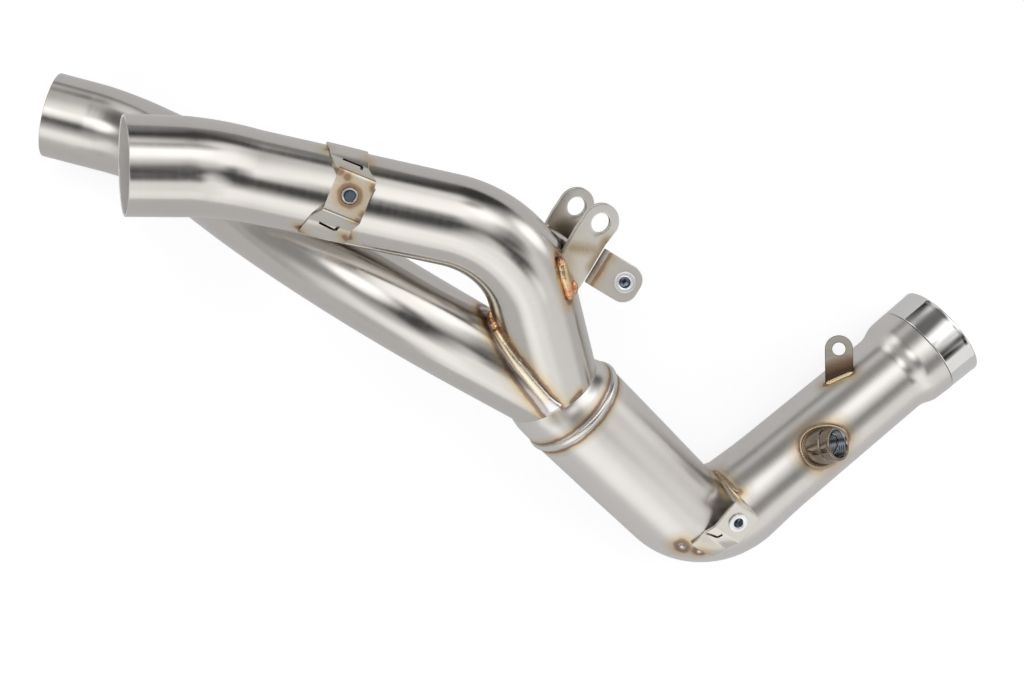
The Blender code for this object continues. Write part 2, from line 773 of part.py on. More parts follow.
bead_on("front_saddle_weld_upper", front, header_radius, ((0.104, -75.5), (0.1255, -70.0)), 0.0011)
bead_on("front_saddle_weld_lower", front, header_radius, ((0.100, 71.8), (0.1240, 77.4)), 0.0011)
bead_on("bend_saddle_weld_upper", main, body_radius, ((0.1405, -57.0), (0.1582, -17.0)), 0.0011)
bead_on("bend_saddle_weld_lower", main, body_radius, ((0.1170, 33.5), (0.1310, 50.6)), 0.0011)
foot_bead("hanger_weld", front, header_radius, (0.2275, 0.2455), ear_hole, ear_facing, 0.0027, 0.75)
small_front = small_hole + 0.0010 * small_facing
foot_bead("outlet_tab_weld", main, body_radius, (0.2502, 0.2668), small_front, small_facing, 0.0012)

# The frame's origin is under the middle of the bounding box, at its lowest point
bpy.context.view_layer.update()
graph = bpy.context.evaluated_depsgraph_get()
pieces = [obj.evaluated_get(graph) for obj in bpy.data.objects if not obj.hide_render]
corners = np.array([tuple(corner) for piece in pieces for corner in piece.bound_box])
low, high = corners.min(axis=0), corners.max(axis=0)
home = np.round((-(low[0] + high[0]) / 2, -(low[1] + high[1]) / 2, -low[2]), 6)
for obj in bpy.data.objects:
    obj.location = home
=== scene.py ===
# %% [markdown]
# # A bent stainless link pipe
# Two header sockets run into one outlet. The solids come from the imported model. This lesson makes
# the surfaces that show: brushed tubes with heat tint round the welds, a threaded boss, pressed
# brackets, bright nuts and a polished sleeve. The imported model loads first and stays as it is.

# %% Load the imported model
import math

import bpy
import numpy as np
from mathutils import Matrix


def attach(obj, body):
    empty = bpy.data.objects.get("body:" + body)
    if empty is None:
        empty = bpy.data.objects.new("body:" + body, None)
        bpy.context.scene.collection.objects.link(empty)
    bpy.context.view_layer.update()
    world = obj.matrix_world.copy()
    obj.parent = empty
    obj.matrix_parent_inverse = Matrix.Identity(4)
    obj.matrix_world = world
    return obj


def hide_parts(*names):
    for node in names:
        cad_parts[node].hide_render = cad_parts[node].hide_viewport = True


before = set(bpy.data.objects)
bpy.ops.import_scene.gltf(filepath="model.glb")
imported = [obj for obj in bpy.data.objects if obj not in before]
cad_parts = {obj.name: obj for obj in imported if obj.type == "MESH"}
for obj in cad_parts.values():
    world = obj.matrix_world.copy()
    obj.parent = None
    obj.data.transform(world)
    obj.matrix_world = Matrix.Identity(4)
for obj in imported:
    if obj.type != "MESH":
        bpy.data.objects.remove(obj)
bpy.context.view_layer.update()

# %% [markdown]
# ## Camera
# The pipe lies on the floor and the camera looks down on it. A 45 mm lens on a 36 mm sensor gives
# the shape of the picture. The matrix rows are the camera's three axes and its place in metres,
# found by matching the outline of the three tubes.

# %% Camera
CAMERA_ROWS = (
    (0.99859, -0.00287, -0.05293, -0.043574),
    (0.0, 0.99854, -0.05408, -0.058207),
    (0.05301, 0.05401, 0.99713, 0.852084),
    (0.0, 0.0, 0.0, 1.0),
)
lens = bpy.data.cameras.new("camera")
lens.lens, lens.sensor_width = 45.0, 36.0
lens.clip_start, lens.clip_end = 0.01, 30.0
camera = bpy.data.objects.new("camera", lens)
bpy.context.scene.collection.objects.link(camera)
camera.matrix_world = Matrix(CAMERA_ROWS)
bpy.context.scene.camera = camera
bpy.context.scene.view_settings.view_transform = "Standard"
print("camera at", [round(v, 3) for v in camera.location])

# %% [markdown]
# ## Node helpers
# Shader graphs are easier to read as a list of steps. `node` adds one node and links or sets its
# inputs, so each later line of a material reads like a formula.


# %% Node helper
def node(tree, kind, inputs=None, **settings):
    """One shader node. Inputs are name or number to a value or to another node's output."""
    made = tree.nodes.new(kind)
    for key, value in settings.items():
        setattr(made, key, value)
    for key, value in (inputs or {}).items():
        if isinstance(value, bpy.types.NodeSocket):
            tree.links.new(value, made.inputs[key])
        else:
            made.inputs[key].default_value = value
    return made


def math_node(tree, operation, first, second=0.0, third=0.0, clamp=False):
    """The output of one arithmetic step."""
    return node(tree, "ShaderNodeMath", {0: first, 1: second, 2: third}, operation=operation,
                use_clamp=clamp).outputs[0]


# %% [markdown]
# %% [markdown]
# ## Studio
# Brushed metal shows what stands round it, so the studio is a sphere of soft light: a pale room
# with brighter panels and darker gaps. Each panel is a round patch that is a function of the
# direction only: 1 inside one angle, 0 outside another and a smooth step between. A least-squares
# fit outside this file chose the directions and strengths, so that the bright and dark bands on
# the three tubes come near the photograph's, and both kinds were then strengthened by hand. The
# panels suit the photograph's side. They aren't the measured lights of a real studio. Camera rays
# see plain white instead.

# %% Studio sphere
world = bpy.data.worlds.new("studio")
bpy.context.scene.world = world
world.use_nodes = True
sky = world.node_tree
sky.nodes.clear()
direction = node(sky, "ShaderNodeTexCoord").outputs["Generated"]


def nearness(towards, patch):
    """1 inside a patch's first angle from a direction, 0 beyond its second, smooth between."""
    towards = np.array(towards, float)
    towards /= np.linalg.norm(towards)
    inner, outer = (math.cos(math.radians(angle)) for angle in patch)
    dot = node(sky, "ShaderNodeVectorMath", {0: direction, 1: tuple(towards)}, operation="DOT_PRODUCT")
    ramp = node(sky, "ShaderNodeMapRange", {0: dot.outputs["Value"], 1: outer, 2: inner},
                interpolation_type="SMOOTHSTEP")
    return ramp.outputs[0]


ROOM, DARKEST = 0.89, 0.04
DARKER, BRIGHTER = 1.50, 1.42
HUGE, WIDE, MIDDLING, SMALL = (16, 50), (8, 30), (4, 18), (2, 9)
PANELS = (
    # direction, patch as its inner and outer angle in degrees, strength added
    ((0.16, 0.99, -0.02), HUGE, -0.42), ((0.16, -0.43, 0.89), WIDE, -0.36),
    ((-0.37, 0.56, 0.74), WIDE, -0.49), ((0.28, 0.31, 0.91), WIDE, 0.42),
    ((0.02, -0.84, 0.55), WIDE, 0.15), ((-0.29, 0.01, 0.96), MIDDLING, 0.82),
    ((0.16, -0.57, 0.80), MIDDLING, 0.41), ((-0.17, -0.97, 0.16), MIDDLING, 0.15),
    ((-0.16, 0.94, 0.32), MIDDLING, 0.39), ((-0.80, 0.02, 0.60), WIDE, -0.37),
    ((-0.66, 0.62, 0.41), MIDDLING, 0.50), ((0.05, 0.00, 1.00), SMALL, -0.42),
    ((0.57, -0.46, 0.68), SMALL, -0.25), ((0.37, 0.59, 0.72), SMALL, -0.54),
    ((0.63, -0.02, 0.78), MIDDLING, -0.41), ((-0.58, 0.81, 0.02), WIDE, -0.30),
    ((-0.24, -0.38, 0.90), WIDE, -0.39), ((0.22, 0.76, 0.61), SMALL, 0.29),
    ((0.57, -0.64, 0.51), SMALL, 0.18), ((-0.35, -0.70, 0.62), WIDE, 0.19),
    ((0.89, 0.37, 0.26), MIDDLING, 0.64), ((0.56, 0.79, 0.27), WIDE, -0.27),
    ((0.53, 0.42, 0.74), MIDDLING, 0.22), ((0.37, -0.61, 0.70), SMALL, -0.41),
    ((-0.91, 0.33, 0.26), MIDDLING, 0.27), ((0.31, -0.95, 0.08), MIDDLING, 0.18),
    ((-0.95, -0.31, -0.01), WIDE, -0.25), ((0.53, -0.36, 0.76), MIDDLING, -0.27),
    ((1.00, 0.01, 0.06), WIDE, -0.15), ((-0.57, -0.82, 0.09), MIDDLING, -0.19),
    ((0.09, 0.90, 0.42), SMALL, -0.23), ((0.32, 0.04, 0.95), SMALL, -0.23),
)
level = ROOM
for towards, patch, strength in PANELS:
    push = strength * (DARKER if strength < 0 else BRIGHTER)
    level = math_node(sky, "MULTIPLY_ADD", nearness(towards, patch), push, level)
level = math_node(sky, "MAXIMUM", level, DARKEST)
room_colour = node(sky, "ShaderNodeCombineColor", {0: level, 1: level, 2: level}).outputs[0]
room = node(sky, "ShaderNodeBackground", {0: room_colour, 1: 1.0})
white = node(sky, "ShaderNodeBackground", {0: (1, 1, 1, 1), 1: 1.0})
rays = node(sky, "ShaderNodeLightPath").outputs
seen = math_node(sky, "MAXIMUM", rays["Is Camera Ray"], rays["Is Transmission Ray"])
both = node(sky, "ShaderNodeMixShader", {0: seen, 1: room.outputs[0], 2: white.outputs[0]})
node(sky, "ShaderNodeOutputWorld", {0: both.outputs[0]})
print("studio panels:", len(PANELS))

# %% [markdown]
# ## Floor
# The backdrop is white paper. Part of its white is its own light and part is light from the
# studio, so it stays white and still keeps a soft shadow under the pipe. Its own light is weaker
# for mirror rays, so that the lower sides of the tubes don't glare.

# %% Floor
FLOOR_HALF = 6.0
SEEN_LIGHT, MIRRORED_LIGHT = 0.74, 0.31
PAPER_COLOUR = (0.42, 0.42, 0.43, 1)
floor_corners = [(x * FLOOR_HALF, y * FLOOR_HALF, 0.0) for x, y in ((-1, -1), (1, -1), (1, 1), (-1, 1))]
floor_mesh = bpy.data.meshes.new("floor")
floor_mesh.from_pydata(floor_corners, [], [(0, 1, 2, 3)])
floor = bpy.data.objects.new("floor", floor_mesh)
bpy.context.scene.collection.objects.link(floor)
paper = bpy.data.materials.new("white_paper")
paper.use_nodes = True
tree = paper.node_tree
tree.nodes.clear()
path = node(tree, "ShaderNodeLightPath")
shaded = node(tree, "ShaderNodeBsdfDiffuse", {"Color": PAPER_COLOUR})
shown = math_node(tree, "MAXIMUM", path.outputs["Is Camera Ray"], path.outputs["Is Transmission Ray"])
mirrored = math_node(tree, "MULTIPLY", path.outputs["Is Glossy Ray"], MIRRORED_LIGHT)
own = math_node(tree, "MULTIPLY_ADD", shown, SEEN_LIGHT, mirrored)
glow = node(tree, "ShaderNodeEmission", {0: (1, 1, 1, 1), 1: own})
paper_sum = node(tree, "ShaderNodeAddShader", {0: shaded.outputs[0], 1: glow.outputs[0]})
node(tree, "ShaderNodeOutputMaterial", {0: paper_sum.outputs[0]})
floor_mesh.materials.append(paper)
print("floor side in metres:", 2 * FLOOR_HALF)

# %% [markdown]
# ## Sizes
# The same sizes as the solids, in metres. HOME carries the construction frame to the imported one.
# The corners are where a tube's straight runs would meet, and BODY_TAPER holds pairs of distance
# and radius along the main tube.

# %% Sizes
HOME = np.array((-0.005074, 0.000293, 0.000584))
HEADER_RADIUS = 0.0254
SOCKET_RADIUS = 0.0270
WALL = 0.0015
SOCKET_LENGTH = 0.046
NECK_LENGTH = 0.008
COLLECTOR_RADIUS = 0.0325
BODY_TAPER = ((0.060, 0.0322), (0.110, 0.0316), (0.150, 0.0309), (0.185, 0.0287), (0.245, 0.0280))
MERGE_POINT = np.array((0.0306, -0.0506, 0.0870))
FRONT_CORNERS = ((-0.2072, 0.0697, 0.1740), (-0.1641, 0.0720, 0.1587), (0.0011, 0.0378, 0.1510), MERGE_POINT)
REAR_CORNERS = ((-0.2883, 0.1290, 0.0300), (-0.2242, 0.1136, 0.0231), (-0.1037, 0.0212, 0.1336), MERGE_POINT)
MAIN_CORNERS = ((0.0315, -0.0497, 0.0870), (0.1268, -0.1367, 0.0292), (0.2856, -0.0072, 0.0326))
PIPE_END = 0.004
COLLAR_JOINT = 0.0105
OUTLET_LENGTH = 0.0207
UP = np.array((0.0, 0.0, 1.0))
ROUND = 144


def unit(vectors):
    """Each vector divided by its own length."""
    vectors = np.asarray(vectors, float)
    return vectors / np.linalg.norm(vectors, axis=-1, keepdims=True)


# %% [markdown]
# ## Centre lines
# A bent tube is straight runs joined by circular bends. `Route.surface(s, clock, r)` is the point
# at distance s along the line, at a clock angle from the topmost direction, r off the centre line.


# %% Route
class Route:
    """A centre line as a function of the distance s along it.

    On a straight the point is start + s * direction. On a bend of radius b it is
    centre + b * (cos(s / b) * outward + sin(s / b) * onward).
    """

    def __init__(self, corners, bends, overrun=0.0):
        """Lays straights and bends through the corners. Overrun lengthens the last straight."""
        corners = np.array(corners, float) + HOME
        corners[-1] += overrun * unit(corners[-1] - corners[-2])
        self.pieces, self.length, here = [], 0.0, corners[0]
        for before, corner, after, radius in zip(corners, corners[1:], corners[2:], bends):
            into, out = unit(corner - before), unit(after - corner)
            turn = math.acos(float(np.clip(into @ out, -1, 1)))
            reach = radius * math.tan(turn / 2)
            self._add(np.linalg.norm(corner - reach * into - here), here, into, None)
            inward = unit(out - into * (into @ out))
            self._add(radius * turn, corner - reach * into + radius * inward, into, (radius, -inward))
            here = corner + reach * out
        self._add(np.linalg.norm(corners[-1] - here), here, unit(corners[-1] - here), None)

    def _add(self, length, base, onward, bend):
        """Appends one straight or one bend, which starts where the last one ended."""
        self.pieces.append((self.length, base, onward, bend))
        self.length += length

    def at(self, s):
        """Centres and directions for an array of distances."""
        s = np.asarray(s, float)
        centre, along = np.empty(s.shape + (3,)), np.empty(s.shape + (3,))
        for start, base, onward, bend in self.pieces:
            # the first straight also reaches back before its start
            here = s >= start if start else s > -9
            run = (s[here] - start)[..., None]
            if bend is None:
                centre[here], along[here] = base + run * onward, onward + 0 * run
            else:
                radius, outward = bend
                angle = run / radius
                centre[here] = base + radius * (np.cos(angle) * outward + np.sin(angle) * onward)
                along[here] = np.cos(angle) * onward - np.sin(angle) * outward
        return centre, along

    def frames(self, s):
        """Centre, direction, the radial direction nearest up, and the third axis."""
        centre, along = self.at(s)
        top = unit(UP - along * along[..., 2:])
        return centre, along, top, np.cross(along, top)

    def radial(self, s, clock):
        """Unit vector from the centre line at a clock angle in degrees."""
        _, _, top, side = self.frames(s)
        clock = np.radians(clock)[..., None]
        return np.cos(clock) * top + np.sin(clock) * side

    def surface(self, s, clock, radius):
        """Centre + radius * (cos(clock) * top + sin(clock) * side)."""
        s, clock, radius = np.broadcast_arrays(np.asarray(s, float), clock, radius)
        return self.at(s)[0] + radius[..., None] * self.radial(s, clock)


front = Route(FRONT_CORNERS, (0.090, 0.060), 0.012)
rear = Route(REAR_CORNERS, (0.096, 0.200), 0.012)
main = Route(MAIN_CORNERS, (0.038,))
print("centre lines in mm:", [round(1000 * r.length, 1) for r in (front, rear, main)])

# %% [markdown]
# ## From numbers to meshes
# Every new piece is a grid of points with rows and columns. `skin` joins neighbours with quads, joins the
# last column to the first, and either joins the last row to the first, as on a hollow tube or a ring, or
# closes each end with a fan. If the signed volume comes out negative the faces are turned round. Attributes
# ride along for the materials: `straight`, the place on the tube as if it had never been bent, which the
# grain follows, `weld_warmth_and_shade`, how close a weld is, which on the far ear also carries painted
# shade, and on the saddles `cut_shade`, which marks the walls of the slots for painted shade.


# %% Mesh helper
WELD_PATHS = {}
PIECES = {}


def heat_near(points, reaches):
    """Heat as 1 - distance / reach to the nearest sample of each weld path, the largest of them.

    Each path has its reach and the most heat that it gives.
    """
    points = points.reshape(-1, 3)
    heat = np.zeros(len(points))
    for name, (reach, most) in reaches.items():
        path = WELD_PATHS[name]
        close = np.nonzero(np.all((points > path.min(0) - reach) & (points < path.max(0) + reach), axis=1))[0]
        if len(close):
            gap = np.sqrt(((points[close, None, :] - path[None, :, :]) ** 2).sum(-1)).min(1)
            heat[close] = np.maximum(heat[close], most * np.clip(1 - gap / reach, 0, 1))
    return heat


def volume_of(points, triangles):
    """Signed volume: a sixth of the sum of the triple products of the triangles' corners."""
    a, b, c = (points[triangles[:, k]] for k in range(3))
    return float(np.einsum("ij,ij->i", a, np.cross(b, c)).sum() / 6)


def put_attributes(mesh, straight, heat):
    """Stores the two point attributes that the materials read."""
    place = mesh.attributes.new("straight", "FLOAT_VECTOR", "POINT")
    place.data.foreach_set("vector", np.ascontiguousarray(straight, np.float32).ravel())
    warm = mesh.attributes.new("weld_warmth_and_shade", "FLOAT", "POINT")
    warm.data.foreach_set("value", np.ascontiguousarray(heat, np.float32).ravel())


def skin(name, grid, ring=True, straight=None, heat=None, sharp=38.0):
    """Mesh object from a (rows, columns, 3) grid. ring joins the last row to the first."""
    grid = np.asarray(grid, float)
    rows, columns = grid.shape[:2]
    index = np.arange(rows * columns).reshape(rows, columns)
    a = index if ring else index[:-1]
    b = np.roll(index, -1, 0) if ring else index[1:]
    quads = np.stack([a, np.roll(a, -1, 1), np.roll(b, -1, 1), b], -1).reshape(-1, 4)
    points = grid.reshape(-1, 3)
    straight = points if straight is None else np.asarray(straight, float).reshape(-1, 3)
    heat = np.zeros(len(points)) if heat is None else np.asarray(heat, float).ravel()
    fans = np.zeros((0, 3), int)
    if not ring:
        ends = np.stack([grid[0].mean(0), grid[-1].mean(0)])
        first, last = len(points), len(points) + 1
        points = np.concatenate([points, ends])
        straight = np.concatenate([straight, straight[[0, -1]]])
        heat = np.concatenate([heat, heat[[0, -1]]])
        low, high = index[0], index[-1]
        fans = np.concatenate([
            np.stack([np.roll(low, -1), low, np.full(columns, first)], -1),
            np.stack([high, np.roll(high, -1), np.full(columns, last)], -1),
        ])
    triangles = np.concatenate([quads[:, [0, 1, 2]], quads[:, [0, 2, 3]], fans])
    if volume_of(points - points.mean(0), triangles) < 0:
        quads, fans = quads[:, ::-1], fans[:, ::-1]
    mesh = bpy.data.meshes.new(name)
    mesh.from_pydata(points.tolist(), [], quads.tolist() + fans.tolist())
    mesh.shade_smooth()
    mesh.set_sharp_from_angle(angle=math.radians(sharp))
    put_attributes(mesh, straight, heat)
    obj = bpy.data.objects.new(name, mesh)
    bpy.context.scene.collection.objects.link(obj)
    PIECES[name] = obj
    return obj


def dress(obj, surface, slot, *nodes):
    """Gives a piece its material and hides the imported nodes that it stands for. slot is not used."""
    obj.data.materials.clear()
    obj.data.materials.append(surface)
    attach(obj, "root")
    if nodes:
        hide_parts(*nodes)
    obj.data.calc_loop_triangles()
    print(obj.name, "triangles:", len(obj.data.loop_triangles))
    return obj


def cut(obj, *cutters):
    """Takes cutters away from a piece for good, and removes them."""
    for cutter in cutters:
        step = obj.modifiers.new("cut", "BOOLEAN")
        step.operation, step.solver, step.object = "DIFFERENCE", "EXACT", cutter
    graph = bpy.context.evaluated_depsgraph_get()
    old, obj_new = obj.data, bpy.data.meshes.new_from_object(obj.evaluated_get(graph))
    obj.modifiers.clear()
    obj.data = obj_new
    bpy.data.meshes.remove(old)
    for cutter in cutters:
        PIECES.pop(cutter.name, None)
        bpy.data.objects.remove(cutter)
    return obj


def points_of(obj):
    """The corner points of a mesh as an array."""
    flat = np.empty(len(obj.data.vertices) * 3, np.float32)
    obj.data.vertices.foreach_get("co", flat)
    return flat.reshape(-1, 3).astype(float)


def reread(obj, straight_of, heat):
    """Works the two attributes out again from the places of the points, as after a cut."""
    for name in ("straight", "weld_warmth_and_shade"):
        if name in obj.data.attributes:
            obj.data.attributes.remove(obj.data.attributes[name])
    points = points_of(obj)
    put_attributes(obj.data, straight_of(points), heat(points))
    obj.data.shade_smooth()
    obj.data.set_sharp_from_angle(angle=math.radians(CUT_CREASE))


CUT_CREASE = 32
SLOT_TOLERANCE = 2e-5
SLOT_BOXES = {}


def shade_cuts(obj, names):
    """Face attribute cut_shade: 1 where a face's middle lies on or in a slot's box, else 0."""
    middles = np.empty(len(obj.data.polygons) * 3, np.float32)
    obj.data.polygons.foreach_get("center", middles)
    shade = np.zeros(len(obj.data.polygons), np.float32)
    for name in names:
        centre, a_axis, b_axis, a, b = SLOT_BOXES[name]
        gap = middles.reshape(-1, 3) - centre
        inside = (np.abs(gap @ a_axis) < a + SLOT_TOLERANCE) & (np.abs(gap @ b_axis) < b + SLOT_TOLERANCE)
        shade[inside] = 1
    obj.data.attributes.new("cut_shade", "FLOAT", "FACE").data.foreach_set("value", shade)
    print(obj.name, "slot wall faces:", int(shade.sum()))


# %% [markdown]
# ## Shared effects as node groups
# Brush marks run round each tube: noise that changes fast along the tube and slowly round it.
# The group gives fine streaks and broader mottling. Near a weld, stainless steel takes thin oxide
# colours in a fixed order, from straw over brown and purple to blue-grey at the hottest line.


# %% Groups
def new_group(name, inputs, outputs):
    """An empty shader group with named sockets. Inputs and outputs are (kind, name, value) rows."""
    group = bpy.data.node_groups.new(name, "ShaderNodeTree")
    for rows, side in ((inputs, "INPUT"), (outputs, "OUTPUT")):
        for kind, title, value in rows:
            socket = group.interface.new_socket(title, in_out=side, socket_type="NodeSocket" + kind)
            if value is not None:
                socket.default_value = value
    return group, node(group, "NodeGroupInput").outputs, node(group, "NodeGroupOutput")


def noise(tree, vector, detail, rough):
    """Smooth random values from 0 to 1 round 0.5."""
    return node(tree, "ShaderNodeTexNoise", {"Vector": vector, "Scale": 1.0, "Detail": detail,
                                             "Roughness": rough}).outputs["Fac"]


def stretch(tree, vector, scale):
    """A vector with each part multiplied by its own number."""
    return node(tree, "ShaderNodeVectorMath", {0: vector, 1: scale}, operation="MULTIPLY").outputs[0]


def fill_ramp(ramp, stops):
    """Gives a colour ramp its stops, which are pairs of place and colour."""
    while len(ramp.color_ramp.elements) < len(stops):
        ramp.color_ramp.elements.new(1.0)
    for element, (place, colour) in zip(ramp.color_ramp.elements, stops):
        element.position, element.color = place, colour


STREAK_SCALE, MOTTLE_SCALE, SMUDGE_SCALE = (60, 60, 2600), (45, 45, 420), (38, 38, 60)
grain, source, sink = new_group(
    "brush_grain", [("Vector", "Place", None)],
    [("Float", "Streaks", None), ("Float", "Mottle", None), ("Float", "Smudge", None)])
fine = noise(grain, stretch(grain, source["Place"], STREAK_SCALE), 4.0, 0.6)
broad = noise(grain, stretch(grain, source["Place"], MOTTLE_SCALE), 3.0, 0.6)
blot = noise(grain, stretch(grain, source["Place"], SMUDGE_SCALE), 2.0, 0.5)
for title, value in (("Streaks", fine), ("Mottle", broad), ("Smudge", blot)):
    grain.links.new(value, sink.inputs[title])

WANDER_SCALE, WANDER_SHARE, ONSET = (180, 180, 180), 0.16, 9.0
OXIDES = (
    # warmth, then red, green, blue and how far the oxide covers the steel
    (0.08, (0.62, 0.59, 0.53, 0.0)), (0.30, (0.64, 0.57, 0.44, 0.42)), (0.47, (0.62, 0.48, 0.29, 0.70)),
    (0.59, (0.29, 0.16, 0.08, 0.88)), (0.67, (0.18, 0.11, 0.08, 0.85)), (0.76, (0.52, 0.45, 0.42, 0.65)),
    (0.97, (0.50, 0.42, 0.36, 0.75)),
)
tint, source, sink = new_group(
    "weld_heat", [("Color", "Steel", (0.6, 0.6, 0.6, 1)), ("Float", "Heat", 0.0), ("Vector", "Place", None)],
    [("Color", "Colour", None), ("Float", "Scorch", None)])
wander = noise(tint, stretch(tint, source["Place"], WANDER_SCALE), 3.0, 0.6)
wander = math_node(tint, "SUBTRACT", wander, 0.5)
warm = math_node(tint, "MULTIPLY_ADD", wander, WANDER_SHARE, source["Heat"])
present = math_node(tint, "MULTIPLY", source["Heat"], ONSET, clamp=True)
warm = math_node(tint, "MULTIPLY", warm, present)
ramp = node(tint, "ShaderNodeValToRGB", {0: warm})
ramp.color_ramp.interpolation = "EASE"
fill_ramp(ramp, OXIDES)
tinted = node(tint, "ShaderNodeMix", {0: ramp.outputs["Alpha"], 6: source["Steel"], 7: ramp.outputs["Color"]},
              data_type="RGBA")
tint.links.new(tinted.outputs[2], sink.inputs["Colour"])
tint.links.new(ramp.outputs["Alpha"], sink.inputs["Scorch"])
print("groups:", [g.name for g in bpy.data.node_groups])

# %% [markdown]
# ## Steel recipe
# One recipe makes every steel here: the base colour is lightened and darkened by the streaks,
# the roughness follows them, and a very small bump breaks the reflections up the way fine
# abrasive belt marks do. The colour is either one base colour, which may take the weld tint, or
# comes from a row of bands over the weld warmth, for tints that don't follow the usual order.
# The bore inside a socket is paler and less metallic, painted light so that it reads bright. The walls of the
# slots are darkened to nearly black as painted shade.


# %% Steel recipe
# the paler, less metallic bore colour is painted light
BORE_PAINTED_LIGHT, BORE_METALLIC = (0.90, 0.885, 0.86), 0.45
MOTTLE_SHARE, STREAK_SHARE = 0.6, 0.4
SMUDGE_TONE, SMUDGE_BUMP, BUMP_DEPTH = 0.06, 0.8, 0.0002
# SLOT_PAINTED_SHADE is painted shade on the slot walls
SLOT_PAINTED_SHADE, BAND_WANDER, SCORCH_ROUGH = 0.92, 0.22, 0.08


def scaled(tree, colour, share):
    """A colour with each part multiplied by one number."""
    return node(tree, "ShaderNodeVectorMath", {0: colour, 3: share}, operation="SCALE").outputs[0]


def warmth(tree):
    """How close a weld is, and on the far ear the painted shade, as the mesh carries it."""
    return node(tree, "ShaderNodeAttribute", attribute_name="weld_warmth_and_shade").outputs["Fac"]


def banded(tree, bands, blot):
    """The colour of the bands at warmth + BAND_WANDER * (smudge - 0.5)."""
    share = math_node(tree, "MULTIPLY_ADD", blot, BAND_WANDER, warmth(tree))
    ramp = node(tree, "ShaderNodeValToRGB", {0: share})
    fill_ramp(ramp, [(place, (*band, 1.0)) for place, band in bands])
    return ramp.outputs["Color"]


def bore_mask(tree, place, reach, depth):
    """1 where the unbent place is within reach of the axis and within depth of the mouth, else 0."""
    spread = node(tree, "ShaderNodeVectorMath", {0: stretch(tree, place, (1, 1, 0))}, operation="LENGTH")
    along = node(tree, "ShaderNodeSeparateXYZ", {0: place}).outputs["Z"]
    return math_node(tree, "MULTIPLY", math_node(tree, "LESS_THAN", spread.outputs["Value"], reach),
                     math_node(tree, "LESS_THAN", along, depth))


def steel(name, colour, rough, streak_rough, streak_tone, bump, heat_on=True, bands=None, bore=None):
    """A metal whose tone is 1 + streak_tone * (streaks - 0.5) + SMUDGE_TONE * (smudge - 0.5).

    Its roughness is rough + streak_rough * (streaks - 0.5). Slot walls keep 1 - SLOT_PAINTED_SHADE of the tone.
    """
    made = bpy.data.materials.new(name)
    made.use_nodes = True
    tree = made.node_tree
    shader = tree.nodes["Principled BSDF"]
    shader.inputs["Metallic"].default_value = 1.0
    place = node(tree, "ShaderNodeAttribute", attribute_name="straight").outputs["Vector"]
    marks = node(tree, "ShaderNodeGroup", {}, node_tree=grain)
    tree.links.new(place, marks.inputs["Place"])
    streaks = math_node(tree, "MULTIPLY_ADD", marks.outputs["Mottle"], MOTTLE_SHARE,
                        math_node(tree, "MULTIPLY", marks.outputs["Streaks"], STREAK_SHARE))
    offset = math_node(tree, "SUBTRACT", streaks, 0.5)
    blot = math_node(tree, "SUBTRACT", marks.outputs["Smudge"], 0.5)
    tone = math_node(tree, "MULTIPLY_ADD", offset, streak_tone, 1.0)
    tone = math_node(tree, "MULTIPLY_ADD", blot, SMUDGE_TONE, tone)
    # painted shade: the slot walls are darkened to nearly black
    walls = node(tree, "ShaderNodeAttribute", attribute_name="cut_shade").outputs["Fac"]
    tone = math_node(tree, "MULTIPLY", tone, math_node(tree, "MULTIPLY_ADD", walls, -SLOT_PAINTED_SHADE, 1.0))
    toned = scaled(tree, banded(tree, bands, blot) if bands else colour, tone)
    rough_value = math_node(tree, "MULTIPLY_ADD", offset, streak_rough, rough)
    # painted light: the bore near a socket's mouth is paler and less metallic
    if bore:
        mask = bore_mask(tree, place, *bore)
        painted_light_bore = scaled(tree, BORE_PAINTED_LIGHT, tone)
        toned = node(tree, "ShaderNodeMix", {0: mask, 6: toned, 7: painted_light_bore}, data_type="RGBA").outputs[2]
        metallic = math_node(tree, "MULTIPLY_ADD", mask, BORE_METALLIC - 1.0, 1.0)
        tree.links.new(metallic, shader.inputs["Metallic"])
    if heat_on:
        warmed = node(tree, "ShaderNodeGroup", {}, node_tree=tint)
        for title, value in (("Steel", toned), ("Heat", warmth(tree)), ("Place", place)):
            tree.links.new(value, warmed.inputs[title])
        toned = warmed.outputs["Colour"]
        rough_value = math_node(tree, "MULTIPLY_ADD", warmed.outputs["Scorch"], SCORCH_ROUGH, rough_value)
    tree.links.new(toned, shader.inputs["Base Color"])
    tree.links.new(rough_value, shader.inputs["Roughness"])
    smudge = math_node(tree, "MULTIPLY", marks.outputs["Smudge"], SMUDGE_BUMP)
    dents = node(tree, "ShaderNodeBump", {"Strength": bump, "Distance": BUMP_DEPTH,
                                          "Height": math_node(tree, "ADD", streaks, smudge)})
    tree.links.new(dents.outputs[0], shader.inputs["Normal"])
    return made


# %% [markdown]
# ## Steel finishes
# The numbers of a finish are its roughness, how far the streaks change the roughness and the tone, and the
# strength of the bump. A row of bands gives pairs of warmth and colour, judged one by one. The brown band and
# the dark foot of the ears may be shadow on the real part. The far ear's dark foot is painted shade, and so
# are the darker colours of the outlet tab and the boss.

# %% Steel finishes
SOCKET_BORE = (0.0264, 0.043)
# TAB_BANDS: the outlet tab is darker overall than the other sheets, which is painted shade, and turns dark
# brown toward its weld as weld tint
TAB_BANDS = ((0.0, (0.25, 0.235, 0.215)), (0.36, (0.24, 0.215, 0.18)), (0.50, (0.13, 0.085, 0.06)),
             (0.64, (0.05, 0.03, 0.02)))
